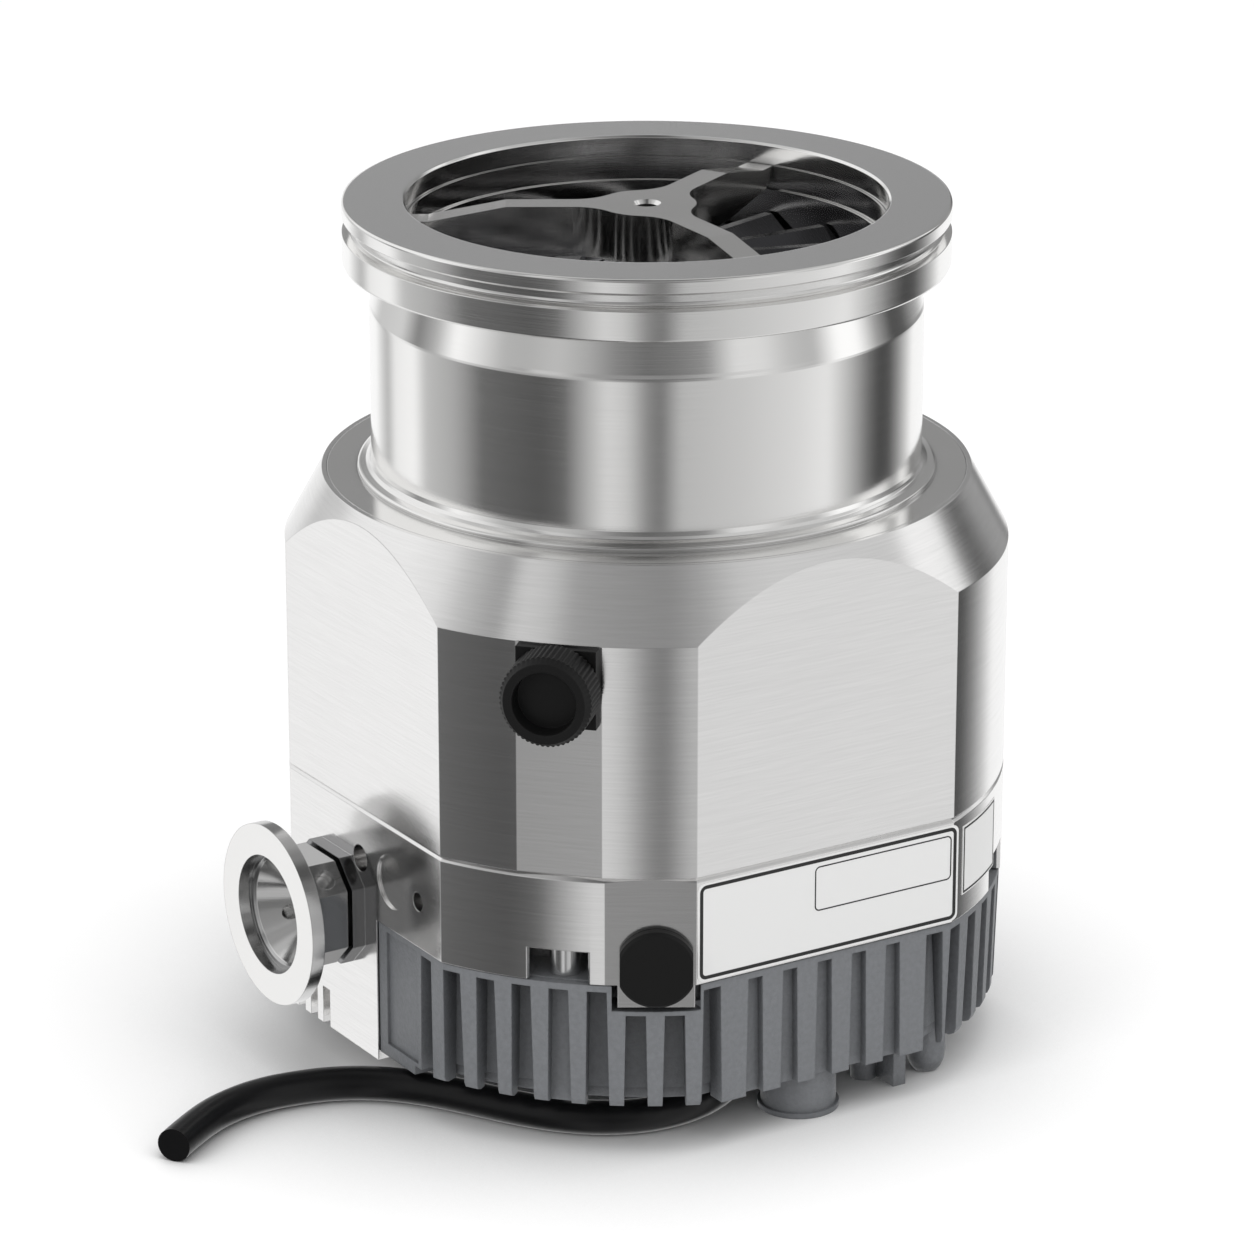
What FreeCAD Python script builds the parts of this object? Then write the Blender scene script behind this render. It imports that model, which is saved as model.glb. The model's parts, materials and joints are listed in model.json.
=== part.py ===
import FreeCAD, Part
import math
import os
import re
import Sketcher
from FreeCAD import Placement, Rotation, Vector

# Turbomolecular pump, millimetres.
# The pump's axis is Z, the floor it stands on is z = 0 and the inlet is at the top.
# The label side faces -Y and the backing port points along -X.
# An azimuth is measured in degrees about Z from +X towards +Y.

SIZES = {
    # inlet envelope
    "inlet_z": 188.0,            # sealing face of the inlet flange
    "inlet_r": 65.0,             # outside radius of the inlet flange
    "inlet_bore_r": 51.5,
    "lip_deep": 4.7,             # depth of the lip that closes the ring stack
    "rim_t": 3.0,                # rim above the clamp groove
    "clamp_groove_w": 3.8,
    "clamp_groove_deep": 2.6,
    "flange_t": 13.4,
    "undercut_r": 57.4,          # neck just under the flange
    "neck_r": 59.4,
    "undercut_z": 165.0,
    "neck_foot_z": 131.6,
    "neck_ring_r": 62.4,
    "neck_ring_t": 1.1,
    "stack_r": 55.2,             # bore that holds the ring stack
    "shoulder_z": 128.9,
    "shelf_z": 121.0,            # where envelope and ring stack stand
    "fit_gap": 0.1,              # radial clearance of pieces that nest
    "seal_at": 58.0,
    "seal_r": 1.2,
    "edge": 0.6,                 # small edge chamfer
    # case
    "shoulder_w": 1.16,          # level step round the envelope
    "cone_w": 8.28,              # how far the cone shoulder spreads
    "flat_in": 7.04,             # how deep the four flats are cut
    "cone_z": 113.8,
    "split_z": 63.0,             # joint of upper and lower body
    "split_bevel": 1.1,
    "drag_bore_r": 60.1,
    "shelf_t": 7.0,
    "shelf_bore_r": 48.5,
    "body_z": 39.0,              # underside of the lower body
    "spigot_up": 7.0,
    "spigot_wall": 4.0,
    # backing plate of the lower body
    "plate_foot_z": 6.3,
    "plate_t": 9.0,
    "plate_from": 4.9,           # reach of the plate towards -Y
    "plate_to": 32.0,            # reach of the plate towards +Y
    "louvre_w": 3.0,
    "louvre_deep": 3.5,
    "louvre_pitch": 5.6,
    "louvre_top_z": 15.0,
    # backing port
    "port_y": 12.4,
    "port_z": 38.0,
    "port_reach": 17.1,          # from the flat to the flange's face
    "port_flange_r": 20.0,
    "port_flange_t": 3.0,
    "port_center_r": 13.1,       # centring bore
    "port_center_deep": 3.0,
    "port_across": 23.6,         # square body with bevelled corners
    "port_corner": 5.4,
    "port_boss": 3.0,
    "port_boss_edge": 0.5,       # how far the boss stands out round the port's body
    "port_seam": 0.9,
    "port_bore_r": 11.5,         # mouth of the funnel
    "port_hole_r": 2.2,
    "duct_r": 5.0,
    "duct_at": 47.0,             # exhaust duct, from the axis
    # vent valve
    "vent_azimuth": -135.55,
    "strip_in": 0.54,            # how deep the strip of the valve is cut
    "vent_z": 105.0,
    "vent_plate": 17.0,
    "vent_plate_t": 2.5,
    "vent_bore_r": 6.2,
    "vent_seat": 67.0,
    "vent_hole_r": 2.0,
    "vent_stem_r": 2.4,
    "vent_lift": 1.0,
    "knob_r": 9.75,
    "knob_t": 9.5,
    "knob_hollow_r": 6.75,
    "knob_hollow_deep": 4.0,
    "knob_flutes": 36,
    "slip": 0.1,                 # clearance of a turning or sliding fit
    # purge port
    "purge_azimuth": -121.5,
    "facet_in": 0.59,            # how deep the purge facet is cut
    "purge_side": 1.2,           # the plug and tab lie off the facet's middle
    "purge_z": 43.2,
    "purge_hole_r": 4.4,
    "purge_deep": 8.0,
    "plug_r": 8.5,
    "plug_across": 15.3,
    "plug_t": 2.6,
    "tab_z": 34.0,
    "tab_w": 16.6,
    # screws
    "pocket_azimuth": -135.8,
    "pocket_w": 12.7,
    "pocket_top_z": 46.2,
    "pocket_deep": 12.5,
    "cap_head_r": 3.3,
    "cap_head_t": 7.0,
    "cap_screw_r": 2.0,
    "tie_wall": 4.9,             # from the drag bore to the tie screws
    "tie_edge": 4.0,             # from the tie screws to the rim of the base flange
    "tie_count": 6,
    "tie_first": 10.0,
    "tie_r": 2.5,
    "tie_head_r": 4.2,
    "tie_head_t": 5.0,
    "tie_grip": 6.0,
    # bearing spider
    "spider_top_z": 186.5,
    "spider_ring_t": 3.3,
    "spider_ring_bore_r": 51.0,
    "arm_w": 6.2,
    "arm_first": 28.5,
    "arm_flat_r": 30.0,
    "arm_tab_r": 46.5,
    "arm_foot_z": 175.6,
    "hub_r": 10.6,
    "blend_r": 9.8,              # arc between the hub and each arm
    "hub_hole_r": 2.25,
    "stub_r": 7.6,
    "stub_foot_z": 158.0,
    "stub_bore_r": 5.1,
    # magnets and backup bearing
    "magnet_top_z": 172.3,
    "magnet_t": 3.4,
    "magnet_count": 4,
    "still_magnet_r": 10.5,
    "rotor_magnet_r": 11.3,
    "magnet_seat_r": 14.6,
    "backup_bore_r": 2.6,
    "backup_t": 4.0,
    # rotor
    "rotor_top_z": 173.4,
    "rotor_nose_r": 20.0,
    "rotor_foot_z": 121.5,
    "rotor_foot_r": 30.0,
    "rotor_well_z": 156.5,
    "shaft_r": 8.0,
    "blade_tip_r": 49.0,
    "blade_t": 1.3,
    "blade_gap": 1.4,            # axial gap between rows
    "row_top_z": 173.0,
    "row_1_h": 10.0,
    "row_2_h": 7.0,
    "row_3_h": 5.4,
    "row_4_h": 4.4,
    "row_1_angle": 40.0,
    "row_2_angle": 33.0,
    "row_3_angle": 27.0,
    "row_4_angle": 22.0,
    "row_1_count": 20,
    "row_2_count": 20,
    "row_3_count": 22,
    "row_4_count": 24,
    "vane_1_h": 6.0,
    "vane_2_h": 5.0,
    "vane_3_h": 4.0,
    "vane_1_angle": 38.0,
    "vane_2_angle": 30.0,
    "vane_3_angle": 25.0,
    "vane_count": 18,
    "vane_hub_t": 2.0,
    "ring_bore_r": 50.3,         # inside of the ring stack
    # drag stage
    "sleeve_r": 28.0,
    "sleeve_foot_z": 84.0,
    "drag_tip_gap": 2.5,
    "drag_t": 2.8,
    "drag_gap": 0.6,
    "wall_h": 3.2,               # spiral walls
    "wall_t": 3.0,
    "wall_count": 5,
    "drag_plate_t": 3.0,
    "drag_plate_bore_r": 30.0,
    "drag_rim_t": 4.5,
    # motor
    "motor_foot_z": 55.0,
    "motor_h": 20.0,
    "motor_r": 25.0,
    "motor_bore_r": 14.5,
    "motor_slots": 6,
    "slot_w": 5.0,
    "winding_h": 3.6,
    "motor_magnet_r": 13.5,
    "motor_wall": 4.2,
    # lower bearing
    "journal_r": 5.0,
    "bearing_foot_z": 38.5,
    "bearing_h": 8.0,
    "bearing_r": 13.0,
    "ball_r": 2.4,
    "ball_at": 9.0,
    "ball_count": 7,
    "ball_play": 0.06,
    "carrier_r": 21.0,
    "damper_r": 1.2,
    # oil supply
    "nut_z": 34.0,
    "nut_r": 8.0,
    "cartridge_r": 21.0,
    "cartridge_foot_z": 13.5,
    "cartridge_wall": 2.0,
    "core_tube_r": 26.0,         # tube of the lower body round bearing and cartridge
    "cap_z": 10.0,
    "cap_r": 23.4,
    # drive housing
    "house_in": 0.34,            # the housing is this much smaller than the case
    "house_draft": 0.8,
    "house_flat_inset": 0.4,
    "house_seam": 0.3,           # thin open line under the lower body
    "house_foot_round": 1.6,
    "house_foot_z": 10.5,
    "house_wall_z": 13.5,
    "house_wall": 4.0,
    "house_web": 3.0,
    "fin_deep": 4.5,
    "fin_slot": 4.2,
    "fin_slot_spread": 0.5,      # each side of a slot leans out by this, from top to foot
    "fin_pitch": 8.21,
    "fin_band": 1.8,
    "screw_slot_deep": 2.7,      # the slot under each screw pocket stays clear of the thread
    "slots_on_round": 7,
    "end_slot_at": 28.3,         # the wide slot near each end of a flat
    "side_slot_at": 25.3,        # the one slot beside the port
    "flat_slot": 3.5,            # the shallow slots on the flats
    "flat_slot_deep": 2.0,
    "flat_pitch": 8.75,
    "slots_on_flat": 5,
    "panel_to": 20.0,
    "panel_frame": 3.6,
    "panel_sunk": 0.7,
    "panel_foot_z": 8.4,
    "house_bore_r": 33.0,
    "notch_gap": 1.0,
    "cover_t": 2.5,
    "board_z": 24.0,
    "board_t": 1.6,
    # feet and underside
    "foot_at": 60.0,
    "foot_first": -89.1,
    "foot_r": 8.8,
    "foot_lip": 1.2,
    "foot_hole_r": 2.5,
    "foot_hole_deep": 9.0,
    "cover_screw_in": 11.8,      # cover screws, from the foot of the housing
    "cover_screw_r": 1.5,
    "block_x": 24.6,
    "block_y": -58.5,
    "block_l": 11.0,
    "block_t": 3.2,
    "post_x": 35.0,
    "post_y": -59.0,
    "post_r": 4.3,
    "gland_w": 14.0,
    "cable_r": 3.7,
}

# Sizes that follow from others; each pair of neighbours keeps its wall or step.
DERIVED = {
    "tie_at": "drag_bore_r + tie_wall",
    "base_flange_r": "tie_at + tie_edge",
    "cone_r": "base_flange_r + shoulder_w",
    "case_r": "cone_r + cone_w",
    "flat_at": "case_r - flat_in",
    "port_face": "flat_at + port_reach",
    "vent_face": "case_r - strip_in",
    "purge_face": "case_r - facet_in",
    "drag_r": "drag_bore_r - fit_gap - drag_rim_t - drag_tip_gap",
    "house_top_r": "case_r - house_in",
    "house_foot_r": "house_top_r - house_draft",
    "cover_screw_at": "house_foot_r - cover_screw_in",
    "blend_at": "sqrt((hub_r + blend_r) ^ 2 - (arm_w / 2 + blend_r) ^ 2)",
}

doc = FreeCAD.newDocument("TurbomolecularPump")
sheet = doc.addObject("Spreadsheet::Sheet", "Sizes")
entries = list(SIZES.items()) + [(name, "=" + text) for name, text in DERIVED.items()]
for row, (name, number) in enumerate(entries, 1):
    sheet.set("A%d" % row, name)
    sheet.set("B%d" % row, str(number))
    sheet.setAlias("B%d" % row, name)
doc.recompute()
reader = doc.addObject("Spreadsheet::Sheet", "Reader")

pieces = {}


def cells(text):
    """The text of a formula, with each size read from the spreadsheet."""
    def cell(found):
        word = found.group(0)
        return "Sizes." + word if word in SIZES or word in DERIVED else word
    return re.sub(r"[a-z][a-z_0-9]*", cell, text)


def value(text):
    """The number that a formula gives now."""
    reader.set("A1", "=" + cells(text))
    reader.recompute()
    return float(reader.get("A1"))


def bind(item, **formulas):
    """Ties properties of an object to formulas; x, y and z stand for its place."""
    for name, text in formulas.items():
        path = "Placement.Base." + name if name in ("x", "y", "z") else name
        item.setExpression(path, cells(text))
    return item


def turn_about_z(item, azimuth):
    item.Placement.Rotation = Rotation(Vector(0, 0, 1), value(azimuth))
    item.setExpression("Placement.Rotation.Angle", cells(azimuth))
    return item


def origin_part(body, role):
    return next(item for item in body.Origin.OriginFeatures if item.Role == role)


def new_sketch(body, label, role, points, lift=None):
    """A closed outline of straight edges on an origin plane, each corner at its own formulas."""
    sketch = body.newObject("Sketcher::SketchObject", label)
    sketch.AttachmentSupport = [(origin_part(body, role), "")]
    sketch.MapMode = "FlatFace"
    if lift:
        sketch.setExpression("AttachmentOffset.Base.z", cells(lift))
    corners = [Vector(value(across), value(up), 0) for across, up in points]
    count = len(corners)
    sketch.addGeometry([Part.LineSegment(corners[i], corners[(i + 1) % count]) for i in range(count)])
    rules = [Sketcher.Constraint("Coincident", i, 2, (i + 1) % count, 1) for i in range(count)]
    formulas = {}
    for i, (across, up) in enumerate(points):
        for kind, text, length in (("DistanceX", across, corners[i].x), ("DistanceY", up, corners[i].y)):
            formulas[len(rules)] = text
            rules.append(Sketcher.Constraint(kind, -1, 1, i, 1, length))
    sketch.addConstraint(rules)
    for index, text in formulas.items():
        sketch.setExpression("Constraints[%d]" % index, cells(text))
    return sketch


def new_body(label):
    return doc.addObject("PartDesign::Body", label)


def revolve(body, label, points, axis="V_Axis"):
    sketch = new_sketch(body, label + "_section", "XZ_Plane", points)
    turn = body.newObject("PartDesign::Revolution", label)
    turn.Profile = (sketch, [""])
    turn.ReferenceAxis = (sketch, [axis])
    turn.Angle = 360
    body.Tip = turn
    return turn


def turned(label, points):
    """A piece turned about the pump's axis, from (radius, height) corners."""
    body = new_body(label)
    revolve(body, label + "_turn", points)
    return body


def turned_sideways(label, points, azimuth, height, side="0"):
    """A piece turned about a level axis, from (reach, radius) corners.

    The axis passes the pump's own axis at a distance, towards a smaller azimuth."""
    body = new_body(label)
    revolve(body, label + "_turn", points, "H_Axis")
    turn_about_z(body, azimuth)
    bind(body, x="(%s) * sin(%s)" % (side, azimuth), y="0 - (%s) * cos(%s)" % (side, azimuth), z=height)
    return body


def pad(body, label, role, points, length, lift=None):
    sketch = new_sketch(body, label + "_outline", role, points, lift)
    feature = body.newObject("PartDesign::Pad", label)
    feature.Profile = (sketch, [""])
    bind(feature, Length=length)
    body.Tip = feature
    return feature


def pocket_through(body, label, role, points):
    sketch = new_sketch(body, label + "_outline", role, points)
    feature = body.newObject("PartDesign::Pocket", label)
    feature.Profile = (sketch, [""])
    feature.Type = "ThroughAll"
    feature.Midplane = True
    body.Tip = feature
    return feature


def around(body, feature, axis, count):
    """Repeats a feature evenly about an origin axis."""
    pattern = body.newObject("PartDesign::PolarPattern", feature.Name + "_row")
    pattern.Originals = [feature]
    pattern.Axis = (origin_part(body, axis), [""])
    pattern.Angle = 360
    bind(pattern, Occurrences=count)
    body.Tip = pattern
    return pattern


def prism(label, points, low, height, role="XY_Plane"):
    body = new_body(label)
    pad(body, label + "_pad", role, points, height, low)
    return body


def rod(label, radius, height, x="0", y="0", z="0"):
    return bind(doc.addObject("Part::Cylinder", label), Radius=radius, Height=height, x=x, y=y, z=z)


def pin_cone(label, low_radius, high_radius, height, x="0", y="0", z="0"):
    cone = doc.addObject("Part::Cone", label)
    return bind(cone, Radius1=low_radius, Radius2=high_radius, Height=height, x=x, y=y, z=z)


def block(label, length, width, height, x, y, z):
    return bind(doc.addObject("Part::Box", label), Length=length, Width=width, Height=height, x=x, y=y, z=z)


def polar(label, radius, height, reach, azimuth, z):
    """A standing rod at a reach and azimuth from the pump's axis."""
    across = "(%s) * cos(%s)" % (reach, azimuth)
    along = "(%s) * sin(%s)" % (reach, azimuth)
    return rod(label, radius, height, across, along, z)


def ring(label, center_r, section_r, z):
    return bind(doc.addObject("Part::Torus", label), Radius1=center_r, Radius2=section_r, z=z)


def cut(label, base, tool):
    feature = doc.addObject("Part::Cut", label)
    feature.Base = base
    feature.Tool = tool
    return feature


def fuse(label, items):
    feature = doc.addObject("Part::MultiFuse", label)
    feature.Shapes = items
    return feature


def common(label, items):
    feature = doc.addObject("Part::MultiCommon", label)
    feature.Shapes = items
    return feature


def group(label, items):
    feature = doc.addObject("Part::Compound", label)
    feature.Links = items
    return feature


def piece(name, item):
    """Names a finished piece; its label names its file."""
    item.Label = name
    pieces[name] = item
    return item


def bevelled_square(across, bevel):
    """Corners of a square about the origin, each cut off by a bevel."""
    half = "(%s) / 2" % across
    corner = "((%s) / 2 - (%s))" % (across, bevel)
    signs = ((1, 1, 0), (1, 1, 1), (-1, 1, 1), (-1, 1, 0), (-1, -1, 0), (-1, -1, 1), (1, -1, 1), (1, -1, 0))
    points = []
    for side, level, tall in signs:
        first, second = (corner, half) if tall else (half, corner)
        points.append(("%d * %s" % (side, first), "%d * %s" % (level, second)))
    return points


def rectangle(low_x, high_x, low_y, high_y):
    return [(low_x, low_y), (high_x, low_y), (high_x, high_y), (low_x, high_y)]


def cone_radius(z):
    """Radius of the rotor's hub at a height."""
    return ("(rotor_foot_r + (rotor_nose_r - rotor_foot_r) * ((%s) - rotor_foot_z)"
            " / (rotor_top_z - rotor_foot_z))" % z)


# Heights of the blade rows, worked down from the first.
def row_top(number):
    text = "row_top_z"
    for before in range(1, number):
        text += " - row_%d_h - vane_%d_h - 2 * blade_gap" % (before, before)
    return text


def vane_top(number):
    return row_top(number) + " - row_%d_h - blade_gap" % number


def blade_outline(top, height, angle):
    """The side view of one blade: a leaning strip with level ends."""
    lean = "(%s) / 2 / tan(%s)" % (height, angle)
    half = "blade_t / 2 / sin(%s)" % angle
    low = "%s - %s" % (top, height)
    return [("0 - %s - %s" % (lean, half), low), ("0 - %s + %s" % (lean, half), low),
            ("%s + %s" % (lean, half), top), ("%s - %s" % (lean, half), top)]


def vane_outline(top, height, angle):
    """A stator blade leans the other way."""
    lean = "(%s) / 2 / tan(%s)" % (height, angle)
    half = "blade_t / 2 / sin(%s)" % angle
    low = "%s - %s" % (top, height)
    return [("%s - %s" % (lean, half), low), ("%s + %s" % (lean, half), low),
            ("%s - %s" % (half, lean), top), ("0 - %s - %s" % (half, lean), top)]


def case_block(label, low, high):
    """The square that cuts the four flats."""
    return prism(label, rectangle("0 - flat_at", "flat_at", "0 - flat_at", "flat_at"), low,
                 "(%s) - (%s)" % (high, low))


def side_cutter(label, azimuth, face, width, low, high):
    """A block outside a flat that faces an azimuth, to cut the flat."""
    body = prism(label, rectangle(face, "(%s) + 10" % face, "0 - (%s) / 2" % width, "(%s) / 2" % width),
                 low, "(%s) - (%s)" % (high, low))
    return turn_about_z(body, azimuth)


def tie_azimuth(number):
    return "tie_first + 360 / tie_count * %d" % number


def tie_holes(label, radius, low, high):
    rods = []
    for number in range(int(SIZES["tie_count"])):
        rods.append(polar("%s_%d" % (label, number), radius, "(%s) - (%s)" % (high, low), "tie_at",
                          tie_azimuth(number), low))
    return group(label, rods)


def make_envelope():
    groove_top = "inlet_z - rim_t"
    groove_low = "inlet_z - rim_t - clamp_groove_w"
    groove_r = "inlet_r - clamp_groove_deep"
    shape = turned("envelope_shell", [
        ("inlet_bore_r", "inlet_z"), ("inlet_r - edge", "inlet_z"), ("inlet_r", "inlet_z - edge"),
        ("inlet_r", groove_top), (groove_r + " + 0.8", groove_top + " - 0.3"),
        (groove_r, groove_top + " - 1.2"), (groove_r, groove_low + " + 1.2"),
        (groove_r + " + 0.8", groove_low + " + 0.3"), ("inlet_r", groove_low),
        ("inlet_r", "inlet_z - flange_t + edge"), ("inlet_r - edge", "inlet_z - flange_t"),
        ("undercut_r", "inlet_z - flange_t"), ("neck_r", "undercut_z"), ("neck_r", "neck_foot_z"),
        ("neck_r + 0.4", "neck_foot_z - 0.9"), ("neck_ring_r - 0.8", "shoulder_z + neck_ring_t"),
        ("neck_ring_r", "shoulder_z + neck_ring_t - 0.4"), ("neck_ring_r", "shoulder_z"),
        ("base_flange_r", "shoulder_z"), ("base_flange_r", "shelf_z"), ("stack_r", "shelf_z"),
        ("stack_r", "inlet_z - lip_deep"), ("inlet_bore_r", "inlet_z - lip_deep")])
    threads = tie_holes("envelope_threads", "tie_r", "shelf_z", "shelf_z + tie_grip + 0.5")
    piece("inlet_envelope", cut("envelope_drilled", shape, threads))


def make_upper_body():
    shape = turned("upper_body_turned", [
        ("drag_bore_r", "split_z"), ("case_r", "split_z"), ("case_r", "cone_z"),
        ("cone_r", "shoulder_z"), ("base_flange_r + fit_gap", "shoulder_z"),
        ("base_flange_r + fit_gap", "shelf_z"), ("shelf_bore_r", "shelf_z"),
        ("shelf_bore_r", "shelf_z - shelf_t"), ("drag_bore_r", "shelf_z - shelf_t")])
    flats = common("upper_body_flats", [shape, case_block("upper_square", "split_z", "inlet_z")])
    strip = side_cutter("vent_strip", "vent_azimuth", "vent_face", "30", "split_z", "cone_z")
    vent = turned_sideways("vent_bore", [
        ("0", "0"), ("drag_bore_r - 3", "0"), ("drag_bore_r - 3", "vent_hole_r"), ("vent_seat", "vent_hole_r"),
        ("vent_seat", "vent_bore_r"), ("case_r + 1", "vent_bore_r"), ("case_r + 1", "0")][1:],
        "vent_azimuth", "vent_z")
    groove = turned("envelope_seal_groove", rectangle("seal_at - seal_r - 0.3", "seal_at + seal_r + 0.3",
                                                      "shelf_z - 2 * seal_r - 0.1", "shelf_z + 1"))
    holes = tie_holes("upper_tie_holes", "tie_r + 0.25", "split_z", "shelf_z")
    tools = fuse("upper_body_tools", [strip, vent, groove, holes])
    piece("upper_body", cut("upper_body_cut", flats, tools))
    piece("envelope_seal", ring("envelope_ring", "seal_at", "seal_r", "shelf_z - seal_r - 0.05"))


def lower_shell():
    """Case, floor, spigot, motor tube and core tube of the lower body, turned in one."""
    tube_r = "motor_r + motor_wall"
    return turned("lower_body_turned", [
        ("core_tube_r - 4", "cartridge_foot_z"), ("core_tube_r", "cartridge_foot_z"),
        ("core_tube_r", "body_z"), ("case_r", "body_z"), ("case_r", "split_z - split_bevel"),
        ("case_r - split_bevel", "split_z"), ("drag_bore_r - fit_gap", "split_z"), ("drag_bore_r - fit_gap", "split_z + 2.2"),
        ("drag_bore_r - fit_gap - 1.9", "split_z + 2.2"), ("drag_bore_r - fit_gap - 1.9", "split_z + 4.6"),
        ("drag_bore_r - fit_gap", "split_z + 4.6"), ("drag_bore_r - fit_gap", "split_z + spigot_up"),
        ("drag_bore_r - fit_gap - spigot_wall", "split_z + spigot_up"),
        ("drag_bore_r - fit_gap - spigot_wall", "split_z - 6"), (tube_r, "split_z - 6"),
        (tube_r, "motor_foot_z + motor_h + winding_h"),
        ("motor_r + fit_gap", "motor_foot_z + motor_h + winding_h"), ("motor_r + fit_gap", "motor_foot_z"),
        ("motor_r - 2.5", "motor_foot_z"), ("motor_r - 2.5", "motor_foot_z - winding_h - 0.6"),
        ("carrier_r + fit_gap", "motor_foot_z - winding_h - 0.6"), ("carrier_r + fit_gap", "body_z - 1"),
        ("core_tube_r - 4", "body_z - 1")])


def make_lower_body():
    shell = lower_shell()
    tab = turn_about_z(prism("purge_tab", rectangle(
        "purge_face - 6", "purge_face + 2", "purge_side - tab_w / 2", "purge_side + tab_w / 2"),
        "tab_z", "body_z - tab_z + 1"), "purge_azimuth")
    plate = block("backing_plate", "plate_t", "plate_from + plate_to", "body_z - plate_foot_z + 1",
                  "0 - flat_at", "0 - plate_from", "plate_foot_z")
    boss = block("duct_boss", "flat_at - duct_at + duct_r + 4", "2 * duct_r + 12", "body_z - port_z + duct_r + 6",
                 "0 - flat_at + 1", "port_y - duct_r - 6", "port_z - duct_r - 6")
    port_boss = prism("port_boss_square", bevelled_square("port_across + 2 * port_boss_edge",
                                                          "port_corner + port_boss_edge / 2"),
                      "flat_at - 1", "port_boss + 1", "YZ_Plane")
    turn_about_z(port_boss, "180")
    bind(port_boss, y="port_y", z="port_z")
    square = case_block("lower_square", "0", "split_z")
    doc.recompute()
    sides = square.Tip
    faces = sides.Shape.Faces
    top = max(range(len(faces)), key=lambda index: faces[index].CenterOfMass.z) + 1
    bevel = square.newObject("PartDesign::Chamfer", "lower_square_bevel")
    bevel.Base = (sides, ["Face%d" % top])
    bind(bevel, Size="split_bevel")
    square.Tip = bevel
    allowed = fuse("lower_allowed", [square, rod("spigot_room", "drag_bore_r", "30", z="split_z - 10")])
    outside = common("lower_flats", [fuse("lower_rough", [shell, tab, plate, boss]), allowed])
    purge_flat = side_cutter("purge_facet", "purge_azimuth", "purge_face", "30", "0", "split_z")
    purge_hole = turned_sideways("purge_bore", [
        ("purge_face - purge_deep", "0"), ("case_r + 2", "0"), ("case_r + 2", "purge_hole_r"),
        ("purge_face - purge_deep", "purge_hole_r")], "purge_azimuth", "purge_z", "0 - purge_side")
    duct = fuse("exhaust_duct", [
        rod("duct_down", "duct_r", "split_z - port_z", "0 - duct_at", "port_y", "port_z"),
        turned_sideways("duct_out", [("duct_at", "0"), ("flat_at + port_boss + 1", "0"),
                                     ("flat_at + port_boss + 1", "duct_r"), ("duct_at", "duct_r")],
                        "180", "port_z", "port_y")])
    tools = [purge_flat, purge_hole, duct,
             tie_holes("lower_tie_holes", "tie_r + 0.25", "body_z - 1", "split_z + 1"),
             tie_holes("lower_head_holes", "tie_head_r + 0.3", "body_z - 1", "body_z + tie_head_t + 0.5")]
    for number in range(4):
        pocket = prism("screw_pocket_%d" % number,
                       rectangle("case_r - pocket_deep", "case_r + 2", "0 - pocket_w / 2", "pocket_w / 2"),
                       "body_z - 1", "pocket_top_z - body_z + 1")
        tools.append(turn_about_z(pocket, "pocket_azimuth + 90 * %d" % number))
    for number in range(3):
        tools.append(block("louvre_%d" % number, "louvre_deep + 1", "louvre_w", "louvre_top_z - plate_foot_z + 1",
                           "0 - flat_at - 1", "port_y + 4 + louvre_pitch * %d" % number, "plate_foot_z - 1"))
    for number, (label, x, y, z, radius) in enumerate((
            ("front", "0 - flat_at", "1.75", "51", "3"), ("back", "0 - flat_at", "0 - 22.9", "49.4", "2.1"))):
        hole = turned_sideways("side_hole_%s" % label, [
            ("flat_at - 6", "0"), ("flat_at + 1", "0"), ("flat_at + 1", radius), ("flat_at - 6", radius)],
            "180", z, y)
        tools.append(hole)
    tools.append(turned_sideways("round_recess", [
        ("flat_at - 0.5", "0"), ("flat_at + 1", "0"), ("flat_at + 1", "6.1"), ("flat_at - 0.5", "6.1")],
        "180", "50", "0 - 11.6"))
    piece("lower_body", cut("lower_cut", fuse("lower_with_boss", [outside, port_boss]),
                            fuse("lower_tools", tools)))
    piece("body_seal", ring("body_ring", "drag_bore_r - fit_gap - 0.95", "0.9", "split_z + 3.4"))


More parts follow.
